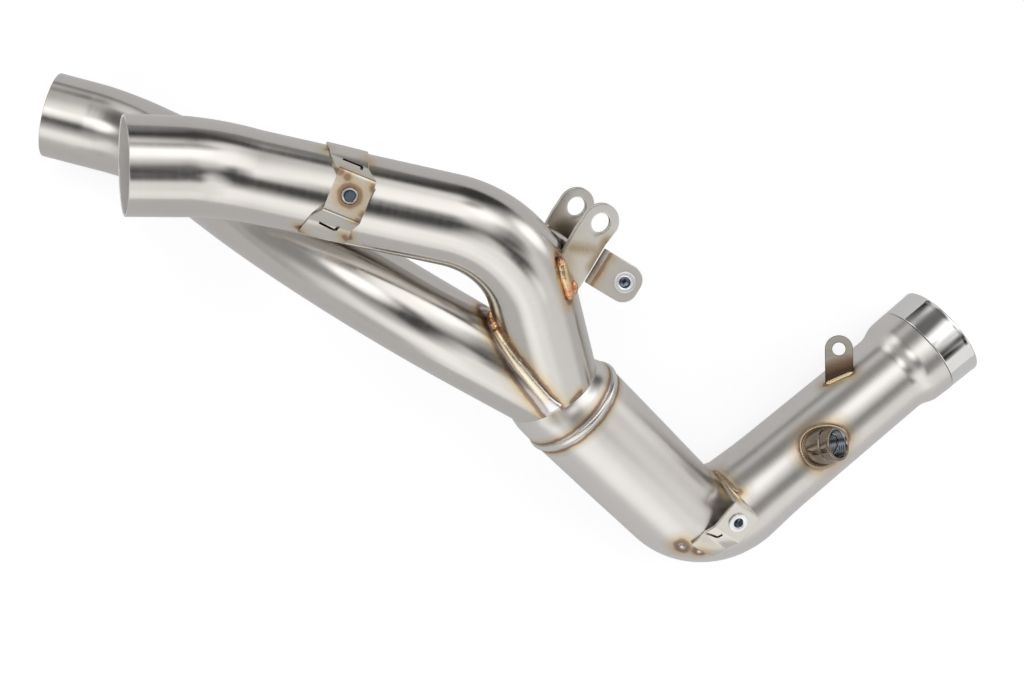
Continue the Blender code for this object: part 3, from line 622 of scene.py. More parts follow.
# the far ear darkens to near black toward its foot: painted shade
FAR_EAR_SHADE_BANDS = ((0.0, (0.64, 0.61, 0.57)), (0.26, (0.52, 0.48, 0.42)), (0.46, (0.18, 0.155, 0.12)),
                 (0.66, (0.06, 0.05, 0.04)))
NEAR_EAR_BANDS = ((0.0, (0.72, 0.695, 0.65)), (0.24, (0.66, 0.61, 0.53)), (0.42, (0.46, 0.37, 0.26)),
                  (0.60, (0.30, 0.22, 0.15)), (0.80, (0.46, 0.38, 0.36)))
HANGER_BANDS = ((0.02, (0.36, 0.17, 0.12)), (0.12, (0.60, 0.36, 0.22)), (0.22, (0.80, 0.59, 0.36)),
                (0.60, (0.80, 0.57, 0.33)), (0.72, (0.70, 0.32, 0.20)), (0.88, (0.78, 0.46, 0.25)),
                (1.0, (0.36, 0.18, 0.12)))
STRIP_BANDS = ((0.0, (0.66, 0.42, 0.24)), (0.08, (0.82, 0.69, 0.50)), (0.45, (0.88, 0.79, 0.62)),
               (0.80, (0.86, 0.76, 0.62)), (0.93, (0.88, 0.87, 0.88)), (1.0, (0.88, 0.88, 0.90)))
tube_steel = steel("tube_steel", (0.645, 0.617, 0.582), 0.17, 0.14, 0.09, 0.035, bore=SOCKET_BORE)
main_steel = steel("main_steel", (0.750, 0.722, 0.690), 0.28, 0.05, 0.05, 0.010)
sheet_steel = steel("sheet_steel", (0.68, 0.645, 0.59), 0.22, 0.16, 0.08, 0.04)
tab_steel = steel("tab_steel", None, 0.28, 0.16, 0.08, 0.04, heat_on=False, bands=TAB_BANDS)
# ear_steel is the far ear, with painted shade toward its foot
ear_steel = steel("ear_steel", None, 0.24, 0.16, 0.08, 0.04, heat_on=False, bands=FAR_EAR_SHADE_BANDS)
near_steel = steel("near_steel", None, 0.26, 0.16, 0.05, 0.04, heat_on=False, bands=NEAR_EAR_BANDS)
plate_steel = steel("plate_steel", (0.74, 0.70, 0.64), 0.40, 0.12, 0.06, 0.03)
sleeve_steel = steel("sleeve_steel", (0.80, 0.79, 0.77), 0.04, 0.05, 0.04, 0.01, heat_on=False)
# the boss's dark brown base colour is painted shade
boss_steel = steel("boss_steel", (0.27, 0.22, 0.17), 0.06, 0.04, 0.06, 0.02)
dark_weld = steel("dark_weld", (0.44, 0.36, 0.27), 0.18, 0.15, 0.20, 0.20, heat_on=False)
gold_lip = steel("gold_lip", (0.93, 0.77, 0.50), 0.12, 0.10, 0.15, 0.10, heat_on=False)
hanger_metal = steel("hanger_metal", None, 0.24, 0.25, 0.25, 0.25, heat_on=False, bands=HANGER_BANDS)
blob_metal = steel("blob_metal", (0.66, 0.54, 0.48), 0.20, 0.20, 0.20, 0.20, heat_on=False)
weld_metal = steel("weld_metal", (0.74, 0.56, 0.36), 0.24, 0.25, 0.30, 0.25)
copper_weld = steel("copper_weld", (0.92, 0.52, 0.27), 0.13, 0.20, 0.40, 0.40, heat_on=False)
strip_metal = steel("strip_metal", None, 0.26, 0.40, 0.55, 0.60, heat_on=False, bands=STRIP_BANDS)
ring_metal = steel("ring_metal", (0.74, 0.71, 0.66), 0.20, 0.20, 0.15, 0.15)
zinc = steel("zinc", (0.97, 0.975, 0.985), 0.36, 0.12, 0.03, 0.03, heat_on=False)
worn_nut = steel("worn_nut", (0.58, 0.53, 0.44), 0.12, 0.10, 0.10, 0.08, heat_on=False)
# painted shade with a painted blue sheen, for the thread linings and cups in the bores
thread_painted_shade = steel("thread_painted_shade", (0.15, 0.18, 0.23), 0.16, 0.12, 0.20, 0.05, heat_on=False)
print("finishes:", len(bpy.data.materials))

# %% [markdown]
# ## Where the welds run
# The tint needs to know where each weld is, so all weld lines are worked out first as rows of
# points. Most are given as a distance and a clock angle on a tube. Some stand for a place that is
# tinted without a bead, such as a saddle's corner.

# %% Weld paths
FLARE_KNOTS = ((0.0412, 0.0275), (0.0352, 0.0308), (OUTLET_LENGTH, 0.0314))
FLARE_ZONE, FLARE_SOFT, BODY_SOFT, SOCKET_SOFT = 0.055, 0.0036, 0.010, 0.0170
main_knots = ((COLLAR_JOINT, COLLECTOR_RADIUS), *BODY_TAPER,
              *((main.length - before_end, radius) for before_end, radius in FLARE_KNOTS))
socket_knots = ((0.0, SOCKET_RADIUS), (SOCKET_LENGTH, SOCKET_RADIUS),
                (SOCKET_LENGTH + NECK_LENGTH, HEADER_RADIUS))


def eased(s, knots, soften):
    """Straight lines between knots, then the mean over a window of 2 * soften, which rounds corners."""
    s = np.asarray(s, float)
    return np.mean([np.interp(s + shift, *zip(*knots)) for shift in np.linspace(-soften, soften, 9)], axis=0)


def main_radius(s):
    """Outer radius of the main tube, with the flare's shoulder rounded."""
    flared = s > main.length - FLARE_ZONE
    return np.where(flared, eased(s, main_knots, FLARE_SOFT), eased(s, main_knots, BODY_SOFT))


def header_radius(s):
    """Outer radius of a header tube."""
    return eased(s, socket_knots, SOCKET_SOFT)


merge = MERGE_POINT + HOME
main_start = np.array(MAIN_CORNERS[0]) + HOME
main_along = main.at(0.0)[1]
front_along, rear_along = front.at(front.length)[1], rear.at(rear.length)[1]
parting = unit(rear_along - front_along)
middle = unit(front_along + rear_along)
facing = unit(np.cross(front_along, rear_along))
half_angle = math.acos(float(front_along @ rear_along)) / 2


def on_main(s, clock):
    """Points on the main tube's skin at distances and clock angles."""
    return main.surface(s, clock, main_radius(np.asarray(s, float)))


def on_front(s, clock):
    """Points on the front header's skin at distances and clock angles."""
    return front.surface(s, clock, header_radius(np.asarray(s, float)))


def valley(back):
    """Points of the groove between the headers, a distance back from where their lines meet.

    The groove stands off the plane of the two lines by the root of radius squared less depth squared.
    """
    depth = back * math.sin(half_angle)
    rise = np.sqrt(np.maximum(HEADER_RADIUS**2 - depth**2, 0))
    return merge - back[:, None] * middle + rise[:, None] * facing


turns = np.linspace(0, 360, 180, endpoint=False)
WELD_PATHS["joint"] = on_main(np.full(180, COLLAR_JOINT), turns)
groove = valley(np.linspace(0.074, 0.008, 80))
WELD_PATHS["valley"] = groove
WELD_PATHS["valley_under"] = groove - 2 * ((groove - merge) @ facing)[:, None] * facing
SHORT_WELDS = (
    # name, tube, distance at one end and its change, clock angle at that end and its change
    ("pocket", on_front, 0.3085, -0.0033, -8.0, -14.0),
    ("front_upper", on_front, 0.104, 0.0215, -75.5, 5.5),
    ("front_lower", on_front, 0.100, 0.024, 71.8, 5.6),
    ("bend_upper", on_main, 0.1405, 0.0177, -57, 40),
    ("blob_left", on_main, 0.1152, 0.0024, 38.5, 5.0),
    ("blob_right", on_main, 0.1238, 0.0028, 41.6, 4.0),
    ("front_corner_left", on_front, 0.0990, 0.0010, 66.0, 4.0),
    ("front_corner_right", on_front, 0.1235, 0.0014, 57.0, 8.0),
    ("front_top_left", on_front, 0.1040, 0.0012, -56.0, 4.0),
    ("front_top_right", on_front, 0.1265, 0.0012, -50.0, 4.0),
)
share = np.linspace(0, 1, 40)
for name, place, s_from, s_change, clock_from, clock_change in SHORT_WELDS:
    WELD_PATHS[name] = place(s_from + s_change * share, clock_from + clock_change * share)
BOSS_STATION, BOSS_CLOCK = 0.2215, 7.0
boss_axis = unit((0.565, 0.150, 0.810))
boss_foot = on_main(np.array(BOSS_STATION), np.array(BOSS_CLOCK))
print("weld paths:", len(WELD_PATHS))


def unbent(s, clock, radius):
    """The place on a tube as if straight: (r cos clock, r sin clock, s)."""
    s, clock, radius = np.broadcast_arrays(s, np.radians(clock), radius)
    return np.stack([radius * np.cos(clock), radius * np.sin(clock), s], -1)


# %% [markdown]
# ## Brackets' directions
# The two ears stand square to one bolt line. Each plate is drawn in its own across and upward
# directions, and its foot is worked out where that upward direction meets the tube.

# %% Bracket directions
ear_facing = unit((0.277, -0.391, 0.879))
ear_lean = np.array((0.375, 0.912, 0.169))
ear_up = unit(ear_lean - ear_facing * (ear_facing @ ear_lean))
ear_across = np.cross(ear_up, ear_facing)
ear_hole = np.array((0.0480, 0.0445, 0.1507)) + HOME
EAR_SPACING = 0.0365
small_facing = unit((-0.30, -0.03, 0.954))
small_up = unit(np.array((0.0, 1.0, 0.0)) - small_facing * small_facing[1])
small_across = np.cross(small_up, small_facing)
small_hole = np.array((0.2130, -0.0200, 0.0480)) + HOME


FRONT_AT_EARS = (front, header_radius, 0.20, 0.28)
MAIN_AT_TAB = (main, main_radius, 0.24, 0.285)
MAIN_AT_BOSS = (main, main_radius, 0.185, 0.250)
SLIDE_REACH = 0.06


def clearance(points, tube):
    """Distance of points from a tube's skin: the least distance to its centre line, less the radius.

    A tube is its route, its radius as a function of s, and the lowest and highest s to look at.
    """
    route, radius_at, s_low, s_high = tube
    s = np.linspace(s_low, s_high, 160)
    centre = route.at(s)[0]
    gap = np.sqrt(((points[..., None, :] - centre) ** 2).sum(-1)) - radius_at(s)
    return gap.min(-1)


def slide_to_tube(points, towards, tube):
    """Moves each point along a direction until it meets the tube, by halving the span that is left."""
    low, high = np.zeros(points.shape[:-1]), np.full(points.shape[:-1], SLIDE_REACH)
    for _ in range(22):
        half = (low + high) / 2
        clear = clearance(points + half[..., None] * towards, tube) > 0
        low, high = np.where(clear, half, low), np.where(clear, high, half)
    return points + low[..., None] * towards


HANGER_S, HANGER_CLOCKS = (0.2262, 0.2462), (-44.4, -38.8, -43.4)
hanger_clock = np.interp(np.linspace(0, 1, 60), (0, 0.4, 1), HANGER_CLOCKS)
WELD_PATHS["hanger"] = on_front(np.linspace(*HANGER_S, 60), hanger_clock)
foot_line = ear_hole + np.linspace(-0.0145, 0.0030, 40)[:, None] * ear_across - 0.012 * ear_up
far_foot = foot_line - EAR_SPACING * ear_facing
WELD_PATHS["hanger_far"] = slide_to_tube(far_foot, -ear_up, FRONT_AT_EARS)
tab_line = small_hole + np.linspace(-0.0083, 0.0083, 40)[:, None] * small_across + 0.0012 * small_facing
WELD_PATHS["outlet_tab"] = slide_to_tube(tab_line, -small_up, MAIN_AT_TAB)
BOSS_RING_RADIUS, BOSS_RING_START = 0.0126, 0.020
boss_side = unit(np.cross(boss_axis, UP))
boss_third = np.cross(boss_axis, boss_side)
ring_turn = np.linspace(0, 2 * math.pi, 96, endpoint=False)
boss_ring = np.cos(ring_turn)[:, None] * boss_side + np.sin(ring_turn)[:, None] * boss_third
over_boss = boss_foot + BOSS_RING_START * boss_axis + BOSS_RING_RADIUS * boss_ring
WELD_PATHS["boss"] = slide_to_tube(over_boss, -boss_axis, MAIN_AT_BOSS)
print("weld paths:", len(WELD_PATHS))

# %% [markdown]
# ## Header tubes
# Each header is a hollow tube: one closed grid runs up the outside, over a rounded lip and back
# down the inside. At the merge every line of the grid stops where it first meets the plane that
# parts the two headers, or the square end inside the collar, so the two fit without a gap.


# %% Header tubes
MERGE_FROM = 0.215
HEADER_TINTS = {
    # weld path: how far its tint reaches and the most that it gives
    "valley": (0.0165, 1.0), "valley_under": (0.0165, 1.0), "joint": (0.011, 1.0), "pocket": (0.0085, 0.74),
    "hanger": (0.0125, 0.72), "hanger_far": (0.009, 0.6), "front_corner_left": (0.009, 0.74),
    "front_corner_right": (0.010, 0.74), "front_top_left": (0.010, 0.60), "front_top_right": (0.013, 0.58),
}


def lip_rows(outer, inner, end, sign, edge):
    """(s, radius) rows round a rim: quarter circles of radius edge at both corners."""
    quarter = np.linspace(0, math.pi / 2, 5)
    out = [(end + sign * edge * (1 - math.sin(q)), outer - edge * (1 - math.cos(q))) for q in quarter]
    back = [(end + sign * edge * (1 - math.cos(q)), inner + edge * (1 - math.sin(q))) for q in quarter]
    return out + back


def header_tube(name, route, sign):
    """Outside rows from the merge to the lip, then inside rows back, on a common clock grid."""
    clock = np.linspace(0, 360, ROUND, endpoint=False)
    probe = np.arange(MERGE_FROM, route.length, 0.0002)
    outside = route.surface(probe[:, None], clock[None, :], HEADER_RADIUS)
    past = (outside - merge) @ parting * sign <= 0
    past |= (outside - merge - PIPE_END * main_along) @ main_along > 0
    past[-1] = True
    stop = probe[np.argmax(past, axis=0)]
    socket_rows, neck_rows = np.linspace(0.0004, 0.022, 7), np.linspace(0.024, 0.076, 32)
    fixed = np.concatenate([socket_rows, neck_rows, np.linspace(0.079, MERGE_FROM, 55)])
    share = np.linspace(0, 1, 46)[1:]
    merging = MERGE_FROM + share[:, None] * (stop - MERGE_FROM)[None, :]
    s = np.concatenate([np.repeat(fixed[:, None], ROUND, 1), merging])
    radius = header_radius(s)
    lips = np.array(lip_rows(SOCKET_RADIUS, SOCKET_RADIUS - WALL, 0.0, 1, 0.00035))
    s_rows = np.concatenate([s[::-1], np.repeat(lips[:, :1], ROUND, 1), s])
    r_rows = np.concatenate([radius[::-1], np.repeat(lips[:, 1:], ROUND, 1), radius - WALL])
    grid = route.surface(s_rows, clock[None, :], r_rows)
    return skin(name, grid, True, unbent(s_rows, clock[None, :], r_rows), heat_near(grid, HEADER_TINTS))


dress(header_tube("front_header", front, 1), tube_steel, "brushed_stainless", "front_inlet_pipe")
dress(header_tube("rear_header", rear, -1), tube_steel, "brushed_stainless", "rear_inlet_pipe")

# %% [markdown]
# ## Collector collar
# The collar starts as an oval that hugs both headers and becomes round at the joint. For each
# spoke round the main line, `header_reach` gives how far out the joined headers lie, and a smooth
# step takes the radius from there to the round end.


# %% Collar
MOUTH_MIDDLE, MOUTH_SLANT, MOUTH_GAP, RISE_SHARE = -0.007, 0.005, 0.0001, 0.45
collar_across = unit(parting - main_along * (parting @ main_along))
collar_up = np.cross(main_along, collar_across)


def header_reach(start, spoke):
    """Largest distance along each spoke at which it leaves one of the two header cylinders.

    It is the larger root of a * t^2 + 2 * b * t + c = 0, which says that t along the spoke is on the skin.
    """
    reach = np.zeros(len(spoke))
    for axis in (front_along, rear_along):
        offset = start - merge - axis * ((start - merge) @ axis)[:, None]
        across = spoke - axis * (spoke @ axis)[:, None]
        a, b = (across**2).sum(1), (offset * across).sum(1)
        c = (offset**2).sum(1) - HEADER_RADIUS**2
        reach = np.maximum(reach, (-b + np.sqrt(np.maximum(b * b - a * c, 0))) / a)
    return reach


def collar_rows(thinner, shares):
    """Rows from the mouth to the joint: radius = snug + (round - snug) * ease - thinner.

    Snug is the headers' reach with a wall that rises over the first rows, and ease is 3t^2 - 2t^3.
    """
    turn = np.linspace(0, 2 * math.pi, ROUND, endpoint=False)
    spoke = np.cos(turn)[:, None] * collar_across + np.sin(turn)[:, None] * collar_up
    mouth = MOUTH_MIDDLE + MOUTH_SLANT * np.cos(turn)
    reach = header_reach(main_start + mouth[:, None] * main_along, spoke) + MOUTH_GAP
    grid = []
    for share in shares:
        ease, rise = share * share * (3 - 2 * share), math.sin(math.pi / 2 * min(share / RISE_SHARE, 1.0))
        snug = reach + WALL * rise
        radius = snug + (COLLECTOR_RADIUS - snug) * ease - thinner
        along = mouth + (COLLAR_JOINT - mouth) * share
        grid.append(main_start + along[:, None] * main_along + radius[:, None] * spoke)
    return np.array(grid)


shares = np.linspace(0, 1, 26)
collar = np.concatenate([collar_rows(0.0, shares), collar_rows(WALL, shares[::-1])])
straight = np.stack([(collar - main_start) @ axis for axis in (collar_across, collar_up, main_along)], -1)
heat = heat_near(collar, {"joint": (0.0105, 1.0), "valley": (0.0118, 0.55)})
shell = skin("collector_shell", collar, True, straight, heat)
dress(shell, main_steel, "brushed_stainless", "collector_collar")

# %% [markdown]
# ## Main tube
# The main tube tapers gently, bends tightly and ends in a rounded flare. The hole under the
# sensor boss is cut with a peg along the boss's own axis.


# %% Main tube
SKEW = (0.31, 0.52, 0.80)
PEG_SIDES, BOSS_HOLE = 48, 0.0080
MAIN_TINTS = {
    "joint": (0.0105, 1.0), "boss": (0.0140, 0.64), "outlet_tab": (0.012, 0.66), "bend_upper": (0.014, 0.64),
    "blob_left": (0.0160, 0.78), "blob_right": (0.0130, 0.76),
}


def circle(axis, count):
    """Unit vectors round an axis: cos(turn) * side + sin(turn) * third, and the turns themselves."""
    side = unit(np.cross(axis, SKEW))
    turn = np.linspace(0, 2 * math.pi, count, endpoint=False)
    return np.cos(turn)[:, None] * side + np.sin(turn)[:, None] * np.cross(axis, side), turn


def peg(name, base, axis, radius, low, high):
    """A plain cylinder along an axis, for cutting."""
    axis = unit(axis)
    ring = radius * circle(axis, PEG_SIDES)[0]
    return skin(name, [base + height * axis + ring for height in (low, high)], False)


clock = np.linspace(0, 360, ROUND, endpoint=False)
seam = main.length - OUTLET_LENGTH
seam_radius = float(main_radius(np.array(seam)))
s_main = np.concatenate([
    np.linspace(COLLAR_JOINT, 0.07, 24), np.linspace(0.0725, 0.205, 90),
    np.linspace(0.2075, seam - 0.026, 28), np.linspace(seam - 0.0252, seam - 0.0006, 40)])
r_main = main_radius(s_main)
end_rows = np.array(lip_rows(seam_radius, seam_radius - WALL, seam, -1, 0.0005))
s_rows = np.concatenate([s_main, end_rows[:, 0], s_main[::-1]])
r_rows = np.concatenate([r_main, end_rows[:, 1], r_main[::-1] - WALL])
tube = main.surface(s_rows[:, None], clock[None, :], r_rows[:, None])
straight = unbent(s_rows[:, None], clock[None, :], r_rows[:, None])
body = skin("main_tube", tube, True, straight, heat_near(tube, MAIN_TINTS))
cut(body, peg("boss_cutter", boss_foot, boss_axis, BOSS_HOLE, -0.020, 0.012))
dress(body, main_steel, "brushed_stainless", "main_pipe")

# %% [markdown]
# ## Turned pieces
# The sleeve, the boss and the nuts are turned: a profile of radius and height pairs carried round
# an axis. A `turned` grid keeps every row a circle, so its mirror bands stay clean.


# %% Turned pieces
def rounded(profile, radius, steps=4):
    """Replaces each corner of a closed profile by a curve that starts and ends radius away from it.

    Each curve is a quadratic: (1-t)^2 * start + 2t(1-t) * corner + t^2 * end.
    """
    profile = np.asarray(profile, float)
    t = np.linspace(0, 1, steps)[:, None]
    done = []
    for before, corner, after in zip(np.roll(profile, 1, 0), profile, np.roll(profile, -1, 0)):
        into, out = before - corner, after - corner
        reach = min(radius, 0.45 * np.linalg.norm(into), 0.45 * np.linalg.norm(out))
        start, end = corner + reach * unit(into), corner + reach * unit(out)
        done.append((1 - t) ** 2 * start + 2 * t * (1 - t) * corner + t**2 * end)
    return np.concatenate(done)


def turned(name, base, axis, profile, sides, heat=None):
    """A solid of revolution from (radius, height) pairs round a closed outline off the axis."""
    axis = unit(axis)
    ring, turn = circle(axis, sides)
    radius, height = np.asarray(profile, float).T
    grid = base + height[:, None, None] * axis + radius[:, None, None] * ring
    straight = np.stack(np.broadcast_arrays(radius[:, None] * np.cos(turn), radius[:, None] * np.sin(turn),
                                            height[:, None]), -1)
    return skin(name, grid, True, straight, heat_near(grid, heat) if heat else None)


SEAM_RADIUS, RIM_RADIUS, SLEEVE_BORE, SLEEVE_TAIL = 0.0314, 0.0319, 0.0278, 0.0288
SLEEVE_DEPTH, SEAM_GAP = -0.006, 0.0003
seam_point, outlet_along = main.at(np.array(seam))
sleeve_profile = rounded((
    (SEAM_RADIUS - 0.0001, SEAM_GAP), (RIM_RADIUS - 0.0002, OUTLET_LENGTH - 0.0030),
    (RIM_RADIUS, OUTLET_LENGTH - 0.0012), (RIM_RADIUS - 0.0002, OUTLET_LENGTH),
    (RIM_RADIUS - 0.0015, OUTLET_LENGTH), (SLEEVE_BORE, OUTLET_LENGTH - 0.0045), (SLEEVE_BORE, SLEEVE_DEPTH),
    (SLEEVE_TAIL, SLEEVE_DEPTH), (SLEEVE_TAIL, SEAM_GAP)), 0.0007, 6)
sleeve = turned("outlet_ring", seam_point, outlet_along, sleeve_profile, 160)
dress(sleeve, sleeve_steel, "polished_stainless", "outlet_sleeve")


# %% [markdown]
# ## Sensor boss
# The boss is a turned ring with a wider foot and a groove between, and its dark brown colour is painted
# shade. Its thread is a wave on the bore: the radius goes up and down once per pitch, so each turn of the
# thread is a ring of its own. A thin lining with the same wave stands in front of the bore's wall, and its
# dark colour is painted shade with a painted blue sheen.

# %% Sensor boss
PITCH, BOSS_TOP, BOSS_BASE, LINING = 0.0015, 0.0105, -0.0110, 0.0088
BOSS_CORNERS = (
    (0.0089, BOSS_TOP), (0.0102, BOSS_TOP), (0.0107, 0.0096), (0.0107, 0.0042), (0.0104, 0.0037),
    (0.0113, 0.0032), (0.0113, BOSS_BASE), (0.0084, BOSS_BASE))


def thread_wave(radius, swing, heights, pitch):
    """(radius + swing * cos(2 pi height / pitch), height) pairs."""
    return np.stack([radius + swing * np.cos(2 * math.pi * heights / pitch), heights], -1)


thread_heights = np.arange(0.0092, -0.0060, -PITCH / 8)
boss_thread = thread_wave(0.0082, 0.00042, thread_heights[::-1], PITCH)
boss_profile = np.concatenate([rounded(BOSS_CORNERS, 0.0004, 5)[2:-3], boss_thread])
boss = turned("port_boss", boss_foot, boss_axis, boss_profile, 128, {"boss": (0.006, 0.6)})
dress(boss, boss_steel, "turned_stainless", "sensor_boss")
# the lining's colour is painted shade with a painted blue sheen
lining_profile = np.concatenate([thread_wave(0.00815, 0.00035, thread_heights, PITCH),
                                 [(LINING, thread_heights[-1]), (LINING, thread_heights[0])]])
dress(turned("port_thread", boss_foot, boss_axis, lining_profile, 96), thread_painted_shade, "turned_stainless")


# %% [markdown]
# ## Weld beads
# A bead is a round section carried along a path, with ripples where each drop of metal froze:
# the radius rises and falls along the path like a row of overlapping coins. Open beads thin out
# at both ends. Two of them differ from the solids, to match the photograph: the bend saddle's
# lower weld is two small mounds here, and the hanger's weld lies a little off its foot line.


# %% Beads
COIN_MIDDLE, TAPER_RADII, THIN_END, GRAIN_RUN, WARM_RIPPLE = 0.6, 1.6, 0.02, 0.4, 0.04


def bead(name, path, lift, radius, pitch, ripple, flat, finish, heat, nodes=(), closed=False, sides=20):
    """Section radius r * (1 + ripple * wave), where the wave is the height of overlapping circles.

    Pitch is the length of one coin, flat the section's height over its width, and lift the way up.
    """
    path, lift = np.asarray(path, float), np.asarray(lift, float)
    if closed:
        along = unit(np.roll(path, -1, 0) - np.roll(path, 1, 0))
        step = np.linalg.norm(path - np.roll(path, 1, 0), axis=1)
    else:
        along = unit(np.gradient(path, axis=0))
        step = np.concatenate([[0.0], np.linalg.norm(np.diff(path, axis=0), axis=1)])
    run = np.cumsum(step)
    count = max(1, round(run[-1] / pitch))
    phase = (run / run[-1] * count) % 1
    wave = np.sqrt(np.clip(1 - (2 * phase - 1) ** 2, 0, 1)) - COIN_MIDDLE
    size = radius * (1 + ripple * wave)
    if not closed:
        end = np.minimum(run, run[-1] - run) / (TAPER_RADII * radius)
        size = size * np.sqrt(np.clip(end, THIN_END, 1))
    up = unit(lift - along * (along * lift).sum(1, keepdims=True))
    side = np.cross(along, up)
    turn = np.linspace(0, 2 * math.pi, sides, endpoint=False)
    section = flat * np.cos(turn)[None, :, None] * up[:, None] + np.sin(turn)[None, :, None] * side[:, None]
    grid = path[:, None] + size[:, None, None] * section
    straight = np.stack(np.broadcast_arrays(radius * np.cos(turn)[None, :], radius * np.sin(turn)[None, :],
                                            run[:, None] * GRAIN_RUN), -1)
    warmth = np.broadcast_to(np.asarray(heat, float).reshape(-1, 1), grid.shape[:2])
    warm = warmth + WARM_RIPPLE * wave[:, None]
    return dress(skin(name, grid, closed, straight, warm, 60.0), finish, "tinted_weld", *nodes)


def resample(path, count, closed=False):
    """The same line with evenly spaced points."""
    path = np.concatenate([path, path[:1]]) if closed else path
    run = np.concatenate([[0], np.cumsum(np.linalg.norm(np.diff(path, axis=0), axis=1))])
    at = np.linspace(0, run[-1], count, endpoint=not closed)
    return np.stack([np.interp(at, run, path[:, k]) for k in range(3)], -1)


joint_clock, joint_s = np.linspace(0, 360, 720, endpoint=False), np.full(720, COLLAR_JOINT)
joint = main.surface(joint_s, joint_clock, COLLECTOR_RADIUS)
bead("joint_ring", joint, main.radial(joint_s, joint_clock), 0.0021, 0.0017, 0.05, 0.52, ring_metal, 0.05,
     ("collar_joint_bead",), closed=True)
boss_path = resample(WELD_PATHS["boss"], 420, True) + 0.0002 * boss_axis
bead("boss_ring", boss_path, np.tile(boss_axis, (420, 1)), 0.0013, 0.0016, 0.10, 0.7, dark_weld, 0.42,
     ("sensor_boss_weld",), closed=True, sides=18)
hang = resample(WELD_PATHS["hanger"], 160)
hang_up = unit(hang - front.at(np.linspace(*HANGER_S, 160))[0])
bead("hanger_fillet", hang + 0.0012 * hang_up, hang_up, 0.0031, 0.0040, 0.06, 0.85, hanger_metal,
     np.linspace(0, 1, 160), ("hanger_weld",), sides=24)
lobe_s = np.linspace(0.2385, 0.2445, 60)
lobe = on_front(lobe_s, np.linspace(-52.0, -51.0, 60))
lobe_up = unit(lobe - front.at(lobe_s)[0])
bead("hanger_lobe", lobe + 0.0022 * lobe_up, lobe_up, 0.0021, 0.0040, 0.06, 0.9, hanger_metal, 0.74)
tab_foot = resample(WELD_PATHS["outlet_tab"], 120) + 0.0010 * small_facing
tab_lift = np.tile(unit(small_facing + small_up), (120, 1))
bead("tab_fillet", tab_foot, tab_lift, 0.0015, 0.0017, 0.08, 0.8, gold_lip, 0.20,
     ("outlet_tab_weld",), sides=16)
FOOT_BEADS = (
    # path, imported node, tube, radius, how flat, finish
    ("front_upper", ("front_saddle_weld_upper",), front, 0.0011, 0.8, weld_metal),
    ("front_lower", ("front_saddle_weld_lower",), front, 0.0011, 0.8, weld_metal),
    ("bend_upper", ("bend_saddle_weld_upper",), main, 0.0010, 0.8, weld_metal),
    ("blob_left", ("bend_saddle_weld_lower",), main, 0.0030, 0.45, blob_metal),
    ("blob_right", (), main, 0.0024, 0.45, blob_metal),
)
for name, nodes, route, radius, flat, finish in FOOT_BEADS:
    line = resample(WELD_PATHS[name], 90)
    centre = route.at(np.linspace(0, route.length, 2000))[0]
    near = centre[np.argmin(((line[:, None] - centre) ** 2).sum(-1), axis=1)]
    lift = unit(line - near)
    bead(name + "_bead", line + 0.0003 * lift, lift, radius, 0.0030, 0.1, flat, finish, 0.45, nodes)

# %% [markdown]
# ## Filler strip
# A tapering filler strip lies in the valley between the headers. Across, it is a low crown; along,
# it widens toward the collar and ends in a flat foot, with a blob of weld at its narrow end.

# %% Filler strip
STRIP_FROM, STRIP_TO = 0.067, 0.0105
NARROW, BROADEST, FOOT_EXTRA, FOOT_FROM = 0.0019, 0.0036, 0.0013, 0.88
STRIP_DRIFT, STRIP_HEIGHT, EDGE_NOISE = 0.0022, 0.0020, 0.00022
STRIP_SECTION = np.array((
    # across and up, as shares of the half width and of the height
    (-1.0, -1.2), (-1.02, 0.2), (-0.92, 0.75), (-0.6, 1.02), (-0.25, 1.12), (0.0, 1.15),
    (0.25, 1.12), (0.6, 1.02), (0.92, 0.75), (1.02, 0.2), (1.0, -1.2), (0.0, -1.4)))
STRIP = np.linspace(0, 1, 150)
back = STRIP_FROM + (STRIP_TO - STRIP_FROM) * STRIP
drift = STRIP_DRIFT * STRIP
foot_share = np.clip((STRIP - FOOT_FROM) / (1 - FOOT_FROM), 0, 1)
half_width = NARROW + (BROADEST - NARROW) * STRIP + FOOT_EXTRA * foot_share**1.5
clear_side = NARROW + (BROADEST - NARROW) * STRIP + drift
depth = back * math.sin(half_angle) - clear_side * math.cos(half_angle)
rise = np.sqrt(HEADER_RADIUS**2 - depth**2) + 0.0002
base = merge - back[:, None] * middle + rise[:, None] * facing + drift[:, None] * parting
rng = np.random.default_rng(5)
rough_edge = np.convolve(rng.standard_normal(170), np.ones(9) / 9, "same")[:150] * EDGE_NOISE
section_across, section_up = STRIP_SECTION[None, :, 0], STRIP_SECTION[None, :, 1]
strip_height = STRIP_HEIGHT * (0.75 + 0.25 * STRIP)[:, None]
strip_grid = (base[:, None] + (section_across * (half_width + rough_edge)[:, None])[..., None] * parting
              + (section_up * strip_height)[..., None] * facing)
strip_straight = np.stack(np.broadcast_arrays(section_across * 0.040, section_up * 0.020,
                                              -back[:, None] * 0.45), -1)
strip_heat = np.broadcast_to(STRIP[:, None], strip_grid.shape[:2])
strip = skin("spine_strip", strip_grid, False, strip_straight, strip_heat, 50.0)
dress(strip, strip_metal, "tinted_weld", "merge_spine_strip")
blob_path = valley(np.linspace(0.0735, 0.0650, 40)) + 0.0008 * facing
bead("spine_blob", blob_path, np.tile(facing, (40, 1)), 0.0027, 0.0030, 0.2, 0.85, copper_weld, 0.5)

# %% [markdown]
# ## Sheet plates
# An ear or tab is a sheet with one round hole. Its grid goes round the hole: each column is a
# direction from the hole's centre, and each row a step of a closed section from hole to outline
# over the front face, round the rim and back. Where a column would enter the tube, it stops on
# the tube's skin, on each face by itself.


# %% Plate helper
EMBED = 0.0004


